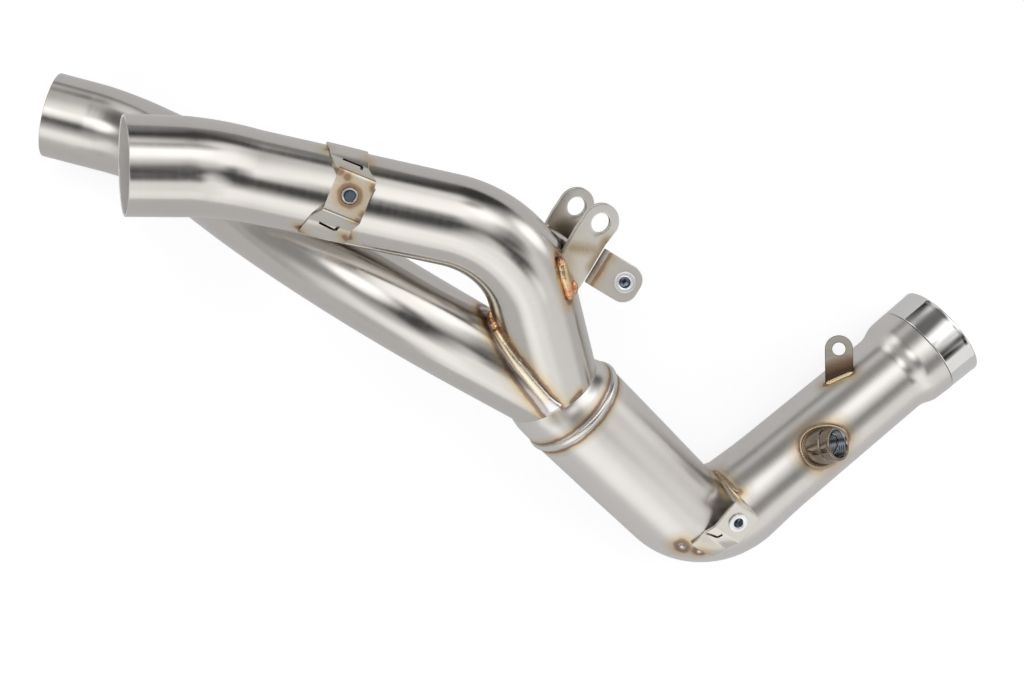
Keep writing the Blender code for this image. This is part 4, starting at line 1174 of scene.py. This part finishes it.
def outline_reach(outline, angles):
    """Distance from the origin to a closed outline along each angle, by meeting each edge."""
    outline = np.asarray(outline, float)
    start, end = outline, np.roll(outline, -1, 0)
    ray = np.stack([np.cos(angles), np.sin(angles)], -1)
    edge = end - start
    cross = ray[:, None, 0] * edge[None, :, 1] - ray[:, None, 1] * edge[None, :, 0]
    cross = np.where(np.abs(cross) < 1e-12, 1e-12, cross)
    reach = (start[None, :, 0] * edge[None, :, 1] - start[None, :, 1] * edge[None, :, 0]) / cross
    share = (start[None, :, 0] * ray[:, None, 1] - start[None, :, 1] * ray[:, None, 0]) / cross
    return np.where((share > -1e-9) & (share < 1 + 1e-9) & (reach > 0), reach, np.inf).min(1)


def ring_plate(name, outline, hole, centre, axes, low, high, count, bevel, heat, tube=None):
    """Closed section per direction: hole wall, front face, outer rim, back face.

    The axes are the plate's across, up and facing directions. Edges are quarter circles of radius bevel.
    """
    across, up, face = axes
    angles = np.linspace(0, 2 * math.pi, count, endpoint=False)
    reach = outline_reach(outline, angles)
    soft = np.convolve(np.concatenate([reach[-3:], reach, reach[:3]]), np.ones(5) / 5, "same")[3:-3]
    reach = np.minimum(soft, reach * 1.02)
    ray = np.cos(angles)[:, None] * across + np.sin(angles)[:, None] * up

    def face_reach(depth):
        """The outline's reach, or where a column sinks EMBED into the tube, found by halving."""
        if tube is None:
            return reach
        start = centre + depth * face + hole * ray
        near, far = np.zeros(count), np.maximum(reach - hole, 0)
        meets = clearance(start + far[:, None] * ray, tube) < -EMBED
        for _ in range(18):
            half = (near + far) / 2
            clear = clearance(start + half[:, None] * ray, tube) > -EMBED
            near, far = np.where(clear, half, near), np.where(clear, far, half)
        return np.where(meets, hole + near, reach)

    front_r, back_r = face_reach(high), face_reach(low)
    q = np.linspace(0, math.pi / 2, 4)
    b = bevel
    rows = [(np.full(count, hole), low + b), (np.full(count, hole), high - b)]
    for a in q[1:]:
        rows.append((np.full(count, hole + b * (1 - math.cos(a))), high - b * (1 - math.sin(a))))
    for share in np.linspace(0, 1, 12)[1:-1]:
        rows.append((hole + b + (front_r - hole - 2 * b) * share, high))
    for a in q:
        rows.append((front_r - b * (1 - math.sin(a)), high - b * (1 - math.cos(a))))
    for a in q[::-1]:
        rows.append((back_r - b * (1 - math.sin(a)), low + b * (1 - math.cos(a))))
    for share in np.linspace(1, 0, 12)[1:-1]:
        rows.append((hole + b + (back_r - hole - 2 * b) * share, low))
    for a in q[::-1][:-1]:
        rows.append((np.full(count, hole + b * (1 - math.cos(a))), low + b * (1 - math.sin(a))))
    radius = np.array([r for r, _ in rows])
    depth = np.array([np.full(count, d) for _, d in rows])
    grid = centre + depth[..., None] * face + radius[..., None] * ray[None]
    straight = np.stack([radius * np.cos(angles), depth, radius * np.sin(angles)], -1)
    return skin(name, grid, True, straight, heat_near(grid, heat), 40.0)


# %% [markdown]
# ## Hanger ears
# Two equal ears stand on one bolt line. Each is a round-topped plate that narrows to its foot on the front
# header. Extra lines of warmth give the near ear a brown band and the far ear a dark foot, which is painted
# shade.

# %% Hanger ears
EAR_RADIUS, EAR_HOLE, EAR_SHEET = 0.0112, 0.0056, 0.0025
half_turn = np.linspace(0, math.pi, 40)
ear_outline = [(EAR_RADIUS * math.cos(a), EAR_RADIUS * math.sin(a)) for a in half_turn]
ear_outline += [(-0.0126, -0.0080), (-0.0138, -0.0270), (0.0015, -0.0475)]
ear_outline += [(0.0050, -0.0415), (0.0062, -0.0330), (0.0086, -0.0105)]
ear_axes = (ear_across, ear_up, ear_facing)
front_tube = (front, header_radius, 0.19, 0.29)
WELD_PATHS["ear_edge"] = (ear_hole + np.linspace(0.0096, 0.0080, 30)[:, None] * ear_across
                          - np.linspace(0.0095, 0.0240, 30)[:, None] * ear_up)
WELD_PATHS["ear_band"] = (ear_hole + np.linspace(-0.0100, 0.0080, 30)[:, None] * ear_across
                          - np.linspace(0.0190, 0.0145, 30)[:, None] * ear_up)
# far_shade is not a weld: it paints shade on the far ear's lower part
WELD_PATHS["far_shade"] = (ear_hole - EAR_SPACING * ear_facing + 0.002 * ear_across
                           - np.linspace(0.0190, 0.0450, 40)[:, None] * ear_up)
NEAR_TINTS = {"hanger": (0.026, 0.48), "ear_edge": (0.010, 0.62), "ear_band": (0.0100, 0.44)}
FAR_EAR_SHADE = {"far_shade": (0.022, 0.68)}
near_ear = ring_plate("near_ear", ear_outline, EAR_HOLE, ear_hole, ear_axes, -EAR_SHEET, 0.0, 420, 0.0004,
                      NEAR_TINTS, front_tube)
far_ear = ring_plate("far_ear", ear_outline, EAR_HOLE, ear_hole, ear_axes, -EAR_SPACING - EAR_SHEET,
                     -EAR_SPACING, 420, 0.0004, FAR_EAR_SHADE, front_tube)
dress(near_ear, near_steel, "bracket_stainless", "hanger_bracket")
dress(far_ear, ear_steel, "bracket_stainless")

# %% [markdown]
# ## Hanger base
# On the real part the ears are bent from one sheet. The base between them is a straight block
# with the sheet's thickness, drawn on the same across and up directions as the ears.


# %% Hanger base
SHEET_BEVEL, CORNER_RADIUS = 0.0003, 0.0009
WEB_OUTLINE = ((-0.0118, -0.0175), (0.0042, -0.0357), (0.0060, -0.0341), (-0.0100, -0.0159))


def sheet_block(name, outline, base, axes, low, high, heat=None):
    """A rounded outline of (a, b) pairs given thickness, as rings from the low to the high face."""
    a_axis, b_axis, depth_axis = axes
    outline = rounded(outline, CORNER_RADIUS, 5)
    middle_point = outline.mean(0)
    rows = []
    for inset, depth in ((1.0, low), (0.3, low + 0.3 * SHEET_BEVEL), (0.0, low + SHEET_BEVEL),
                         (0.0, high - SHEET_BEVEL), (0.3, high - 0.3 * SHEET_BEVEL), (1.0, high)):
        ring = outline + unit(middle_point - outline) * inset * SHEET_BEVEL
        rows.append(base + ring[:, :1] * a_axis + ring[:, 1:] * b_axis + depth * depth_axis)
    grid = np.array(rows)
    straight = np.stack([(grid - base) @ axis for axis in (a_axis, depth_axis, b_axis)], -1)
    return skin(name, grid, False, straight, heat_near(grid, heat) if heat else None, 40.0)


web = sheet_block("ear_web", WEB_OUTLINE, ear_hole, ear_axes, -EAR_SPACING - 0.0006, -0.0006,
                  {"hanger": (0.012, 0.6), "hanger_far": (0.012, 0.6)})
dress(web, sheet_steel, "bracket_stainless")

# %% [markdown]
# ## Nut tab
# The tab hangs on the near ear's edge. It first steps up over that edge in a joggle, then lies
# flat and carries a nut. The flat part is a ring plate round the nut's hole, and the joggle is a
# block drawn in profile.

# %% Nut tab
TAB_HALF, TAB_REACH, TAB_CORNER, TAB_FROM = 0.0109, 0.0286, 0.0085, 0.0036
TAB_SHEET, TAB_HOLE = 0.0020, 0.0047
NUT_OUT, NUT_ALONG, TAB_LIFT = 0.0195, -0.0006, 0.0016
tab_start = ear_hole + 0.0089 * ear_across - 0.0115 * ear_up
tab_finish = ear_hole + 0.0063 * ear_across - 0.0345 * ear_up
tab_fold = unit(tab_finish - tab_start)
tab_facing = unit(UP - tab_fold * tab_fold[2])
tab_out = np.cross(tab_fold, tab_facing)
tab_out = tab_out if tab_out[0] > 0 else -tab_out
tab_middle = (tab_start + tab_finish) / 2
tab_nut_face = tab_middle + NUT_OUT * tab_out + NUT_ALONG * tab_fold + TAB_LIFT * tab_facing
quarter = np.linspace(0, math.pi / 2, 14)
corner = [(TAB_CORNER * (1 - math.sin(a)), TAB_CORNER * (1 - math.cos(a))) for a in quarter]
tab_outline = [(TAB_FROM, -TAB_HALF)]
tab_outline += [(TAB_REACH - inward, -TAB_HALF + along) for inward, along in corner]
tab_outline += [(TAB_REACH - inward, TAB_HALF - along) for along, inward in corner]
tab_outline += [(TAB_FROM, TAB_HALF)]
tab_outline = [(a - NUT_OUT, b - NUT_ALONG) for a, b in tab_outline]
fold_steps = np.linspace(-TAB_HALF, TAB_HALF, 40)[:, None]
WELD_PATHS["tab_fold"] = tab_middle + 0.0040 * tab_out + fold_steps * tab_fold
nut_tab = ring_plate("nut_tab_plate", tab_outline, TAB_HOLE, tab_nut_face, (tab_out, tab_fold, tab_facing),
                     -TAB_SHEET, 0.0, 300, 0.0003, {"tab_fold": (0.0095, 0.70)})
dress(nut_tab, plate_steel, "bracket_stainless", "nut_tab")
JOGGLE = ((0.0002, -0.0030), (0.0024, -0.0034), (0.0058, -0.0003), (0.0058, 0.0015), (0.0036, 0.0016),
          (0.0002, -0.0012))
fold = sheet_block("nut_tab_fold", JOGGLE, tab_middle, (tab_out, tab_facing, tab_fold), -TAB_HALF, TAB_HALF)
dress(fold, plate_steel, "bracket_stainless")

# %% [markdown]
# ## Outlet tab
# A small round-topped tab with one hole stands on the outlet tube. It faces the camera, and its foot stops on
# the tube's skin, where the weld holds it.

# %% Outlet tab
SMALL_HALF, SMALL_FOOT, SMALL_HOLE, SMALL_SHEET = 0.0087, -0.0260, 0.0041, 0.0020
small_outline = [(SMALL_HALF * math.cos(a), SMALL_HALF * math.sin(a)) for a in half_turn]
small_outline += [(-SMALL_HALF, SMALL_FOOT), (SMALL_HALF, SMALL_FOOT)]
tab = ring_plate("spring_tab", small_outline, SMALL_HOLE, small_hole, (small_across, small_up, small_facing),
                 -SMALL_SHEET / 2, SMALL_SHEET / 2, 300, 0.0003, {"outlet_tab": (0.024, 0.74)},
                 (main, main_radius, 0.23, 0.29))
dress(tab, tab_steel, "bracket_stainless", "outlet_tab")

# %% [markdown]
# ## Nuts
# A nut is a turned barrel with a wide thin flange and a threaded bore. The two bright nuts have the flange on
# top, and the front saddle's worn one hangs under its plate. A threaded cup with a closed floor stands in
# each bore, so that the white floor doesn't shine through, and its dark colour is painted shade with a
# painted blue sheen.


# %% Nuts
NUT_BORE, BARREL, FLANGE, NUT_PITCH, CUP_DEPTH = 0.0036, 0.0043, 0.0060, 0.0010, 0.0050


def nut(name, face, axis, flange_high, flange_low, barrel_low, barrel_high, node_name, finish):
    """Flange and barrel as one turned profile, the bore waved as a thread."""
    if flange_high == barrel_high:
        outer = rounded(((NUT_BORE, barrel_high), (FLANGE, flange_high), (FLANGE, flange_low),
                         (BARREL, flange_low), (BARREL, barrel_low), (NUT_BORE, barrel_low)), 0.0004, 4)
    else:
        outer = rounded(((NUT_BORE, barrel_high), (BARREL, barrel_high), (BARREL, flange_high),
                         (FLANGE, flange_high), (FLANGE, flange_low), (NUT_BORE, flange_low)), 0.0003, 4)
    heights = np.arange(outer[-1, 1] + 0.0002, barrel_high - 0.0002, NUT_PITCH / 10)
    profile = np.concatenate([outer[2:-2], thread_wave(0.0032, 0.00022, heights, NUT_PITCH)])
    dress(turned(name, face, axis, profile, 72), finish, "zinc_plate", node_name)
    floor_at = max(barrel_low, barrel_high - CUP_DEPTH) + 0.0003
    under = floor_at - 0.0002
    wave_at = np.linspace(floor_at + 0.0003, barrel_high - 0.0006, 40)
    cup = np.concatenate([
        [(0.0004, floor_at), (0.0028, floor_at)], thread_wave(0.00305, 0.00018, wave_at, NUT_PITCH),
        [(0.0034, barrel_high - 0.0005), (0.0034, under), (0.0004, under)]])
    axis = unit(axis)
    grid = face + cup[:, 1, None, None] * axis + cup[:, 0, None, None] * circle(axis, 64)[0]
    # the cup's colour is painted shade with a painted blue sheen
    dress(skin(name + "_thread", grid, False), thread_painted_shade, "zinc_plate")


nut("tab_nut", tab_nut_face, tab_facing, 0.0015, 0.0003, -0.0050, 0.0015, "nut_tab_nut", zinc)

# %% [markdown]
# ## Front saddle's plate and nut
# The plate's directions are those of the tube, turned a little about the plate's own normal. The
# nut and the dark patches are placed on it, and both are weld paths for the tint of the sheet.

# %% Front saddle's plate and nut
PLATE_S, PLATE_CLOCK, PLATE_OUT, PLATE_TURN, PLATE_SHIFT = 0.1226, 5.0, 0.0310, 10, 0.0008
PATCHES = (
    # dark patches on the plate, along and across it from the nut
    (-0.0085, -0.0100), (-0.0050, -0.0085), (0.0098, -0.0080), (0.0098, 0.0070), (0.0090, 0.0105))
front_centre, front_dir = front.at(np.array(PLATE_S))
front_out = front.radial(np.array(PLATE_S), np.array(PLATE_CLOCK))
front_side = np.cross(front_dir, front_out)
front_plate = front_centre + PLATE_OUT * front_out + PLATE_SHIFT * front_side
turned_by = math.radians(PLATE_TURN)
plate_along = math.cos(turned_by) * front_dir + math.sin(turned_by) * front_side
plate_across = math.cos(turned_by) * front_side - math.sin(turned_by) * front_dir
plate_across = unit(plate_across - plate_along * (plate_along @ plate_across))
plate_out = unit(np.cross(plate_along, plate_across))
plate_out = plate_out if plate_out[2] > 0 else -plate_out
nut_turn = np.linspace(0, 2 * math.pi, 60, endpoint=False)[:, None]
nut_ring = np.cos(nut_turn) * plate_along + np.sin(nut_turn) * plate_across
WELD_PATHS["front_nut"] = front_plate + 0.0052 * nut_ring
WELD_PATHS["front_patches"] = np.array([front_plate + a * plate_along + b * plate_across for a, b in PATCHES])
nut("front_nut", front_plate, plate_out, -0.0019, -0.0033, -0.0033, 0.0004, "front_saddle_nut", worn_nut)

# %% [markdown]
# ## Bend saddle's nut
# The plate at the tight bend is given by its middle and two directions. The second is first made
# square to the first, and their cross product gives the way that the plate faces.

# %% Bend saddle's nut
bend_plate = np.array((0.1420, -0.1278, 0.0687)) + HOME
bend_along = unit((0.772, -0.500, -0.389))
bend_across = np.array((-0.456, -0.826, -0.240))
bend_across = unit(bend_across - bend_along * (bend_along @ bend_across))
bend_out = unit(np.cross(bend_along, bend_across))
bend_out = bend_out if bend_out[2] > 0 else -bend_out
nut("bend_nut", bend_plate, bend_out, 0.0015, 0.0003, -0.0050, 0.0015, "bend_saddle_nut", zinc)

# %% [markdown]
# ## Saddle shape
# A saddle is one strip of sheet: a foot curved to the tube, a leg, a flat plate, the other leg
# and the other foot. Along the strip the middle line is smoothed at its folds; the sheet's other
# face is the same grid moved inward along the normals. Slots and the nut hole are cut last.


# %% Saddle shape
SADDLE_SHEET, SADDLE_BEVEL, FOLD_SOFT, FOOT_GAP = 0.0016, 0.00025, 0.0011, 0.0003
SADDLE_ROWS, SADDLE_COLUMNS = 150, 26


def smooth_rows(rows, count, soften):
    """Rows resampled evenly along the strip, then averaged over a window that rounds the folds."""
    rows = np.asarray(rows, float)
    centre_line = rows.mean(1)
    run = np.concatenate([[0], np.cumsum(np.linalg.norm(np.diff(centre_line, axis=0), axis=1))])
    at = np.linspace(0, run[-1], count)
    flat = rows.reshape(len(rows), -1)
    even = np.stack([np.interp(at, run, flat[:, k]) for k in range(flat.shape[1])], -1)
    width = max(1, int(soften / run[-1] * count))
    pad = np.concatenate([np.repeat(even[:1], width, 0), even, np.repeat(even[-1:], width, 0)])
    kernel = np.ones(2 * width + 1) / (2 * width + 1)
    smooth = np.stack([np.convolve(pad[:, k], kernel, "valid") for k in range(pad.shape[1])], -1)
    ease = np.clip(np.minimum(at, run[-1] - at) / (1.5 * soften), 0, 1)[:, None]
    return (smooth * ease + even * (1 - ease)).reshape(count, rows.shape[1], 3)


def saddle(name, tube, feet, centre, axes, length, width, heat, cutters):
    """One strip over a tube: foot, leg, plate, leg and foot, with slots and the nut's hole cut out.

    feet holds two ends, each two (s left, s right, clock left, clock right) rows, outer then inner.
    The plate's axes are its along, across and outward directions.
    """
    route, radius_at = tube
    along, across, outward = axes
    part = np.linspace(0, 1, SADDLE_COLUMNS)
    tops = []

    def foot(first, second):
        """Rows on the tube from one edge of a foot to the other, straight in s and clock angle."""
        for share in np.linspace(0, 1, 12):
            row = np.array(first) * (1 - share) + np.array(second) * share
            s = row[0] + (row[1] - row[0]) * part
            clock = row[2] + (row[3] - row[2]) * part
            tops.append(route.surface(s, clock, radius_at(s) + FOOT_GAP + SADDLE_SHEET))

    foot(*feet[0])
    for sign in np.linspace(-1, 1, 9):
        edge_line = centre + sign * width / 2 * across
        tops.append(edge_line + (part[:, None] - 0.5) * length * along)
    foot(*feet[1][::-1])
    top = smooth_rows(tops, SADDLE_ROWS, FOLD_SOFT)
    du, dv = np.gradient(top, axis=0), np.gradient(top, axis=1)
    normal = unit(np.cross(du, dv))
    normal = normal if (normal[SADDLE_ROWS // 2, SADDLE_COLUMNS // 2] @ outward) > 0 else -normal
    # closed loop across the strip: top face left to right with eased edges, then back underneath
    left_edge = top[:, :1] - SADDLE_BEVEL * normal[:, :1]
    right_edge = top[:, -1:] - SADDLE_BEVEL * normal[:, -1:]
    side_dir = unit(dv)
    shoulder_left = top[:, :1] + SADDLE_BEVEL * side_dir[:, :1]
    shoulder_right = top[:, -1:] - SADDLE_BEVEL * side_dir[:, -1:]
    under = (top - SADDLE_SHEET * normal)[:, ::-1]
    loop = np.concatenate([left_edge, shoulder_left, top[:, 1:-1], shoulder_right, right_edge, under], 1)
    obj = skin(name, loop, False, None, None, 40.0)
    slot_names = [cutter.name for cutter in cutters if cutter.name in SLOT_BOXES]
    cut(obj, *cutters)
    shade_cuts(obj, slot_names)
    reread(obj, lambda p: np.stack([(p - centre) @ along, (p - centre) @ outward, (p - centre) @ across], -1),
           lambda p: heat_near(p, heat))
    return obj


# %% [markdown]
# ## Slot cutters
# A slot is cut by a thin box that stands square on the tube between two places. Two boxes that share an end
# make the bent slots of the feet. Each box is remembered, so that the walls that it leaves can be marked for
# painted shade in the material.

# %% Slot cutters
SLOT_DEPTH = 0.006


def block(name, centre, axes, half_sizes):
    """A plain box for cutting, given by its axes and half sizes."""
    (a_axis, b_axis, c_axis), (a, b, c) = axes, half_sizes
    ring = [(-a, -b), (a, -b), (a, b), (-a, b)]
    rows = [[centre + x * a_axis + y * b_axis + z * c_axis for x, y in ring] for z in (-c, c)]
    return skin(name, rows, False)


def slot_between(name, tube, first, second, wide_half=0.0008, lift=0.003):
    """A slot cutter from one (distance, clock) place to another, standing square on the tube."""
    route, radius_at = tube
    start, end = (route.surface(np.array(s), np.array(float(clock)), radius_at(np.array(s)) + lift)
                  for s, clock in (first, second))
    out_dir = route.radial(*(np.array((a + b) / 2.0) for a, b in zip(first, second)))
    run = end - start
    a_axis = unit(run - out_dir * (run @ out_dir))
    b_axis = np.cross(out_dir, a_axis)
    middle_point, half_long = (start + end) / 2, np.linalg.norm(run) / 2
    SLOT_BOXES[name] = (middle_point, a_axis, b_axis, half_long, wide_half)
    return block(name, middle_point, (a_axis, b_axis, out_dir), (half_long, wide_half, SLOT_DEPTH))


# %% [markdown]
# ## Front saddle
# The feet are given as distances and clock angles on the front header, the plate by its middle.

# %% Front saddle
SADDLE_HOLE, HOLE_HALF = 0.0047, 0.004
FRONT_LENGTH, FRONT_WIDTH = 0.0205, 0.0240
front_skin, main_skin = (front, header_radius), (main, main_radius)
FRONT_FEET = (((0.103, 0.126, -72, -66), (0.108, 0.129, -38, -30)),
              ((0.0985, 0.1245, 68, 74), (0.1035, 0.127, 42, 46)))
FRONT_TINTS = {
    "front_nut": (0.0110, 0.62), "front_patches": (0.0140, 0.63), "front_corner_left": (0.010, 0.72),
    "front_corner_right": (0.010, 0.70), "front_top_right": (0.010, 0.5), "front_top_left": (0.008, 0.55),
}
front_cutters = [
    peg("front_hole_cutter", front_plate, plate_out, SADDLE_HOLE, -HOLE_HALF, HOLE_HALF),
    slot_between("slot_a", front_skin, (0.1145, -36), (0.1252, -31)),
    slot_between("slot_b", front_skin, (0.1252, -31), (0.1254, -24)),
    slot_between("slot_c", front_skin, (0.1093, 45), (0.1180, 51)),
    slot_between("slot_d", front_skin, (0.1180, 51), (0.1200, 44)),
]
front_axes = (plate_along, plate_across, plate_out)
saddle_front = saddle("front_saddle", front_skin, FRONT_FEET, front_plate, front_axes, FRONT_LENGTH,
                      FRONT_WIDTH, FRONT_TINTS, front_cutters)
dress(saddle_front, sheet_steel, "bracket_stainless", "front_saddle_bracket")

# %% [markdown]
# ## Bend saddle
# The same strip, narrower, on the main tube's tight bend. Its third slot is the slit in the leaf
# at its upper foot.

# %% Bend saddle
BEND_FEET = (((0.136, 0.1555, -51, -8), (0.139, 0.1575, -46, -4)),
             ((0.118, 0.1325, 31, 49), (0.1205, 0.138, 14, 38)))
BEND_LENGTH, BEND_WIDTH = 0.0215, 0.0198
BEND_TINTS = {"bend_upper": (0.020, 0.62), "blob_left": (0.016, 0.66), "blob_right": (0.015, 0.66)}
bend_cutters = [
    peg("bend_hole_cutter", bend_plate, bend_out, SADDLE_HOLE, -HOLE_HALF, HOLE_HALF),
    slot_between("slot_e", main_skin, (0.1215, 14.5), (0.1290, 19.5)),
    slot_between("slot_f", main_skin, (0.1290, 19.5), (0.1312, 16.5)),
    slot_between("slot_g", main_skin, (0.1490, -37.0), (0.1545, -31.0), 0.0006, 0.001),
]
bend_axes = (bend_along, bend_across, bend_out)
saddle_bend = saddle("bend_saddle", main_skin, BEND_FEET, bend_plate, bend_axes, BEND_LENGTH, BEND_WIDTH,
                     BEND_TINTS, bend_cutters)
dress(saddle_bend, sheet_steel, "bracket_stainless", "bend_saddle_bracket")
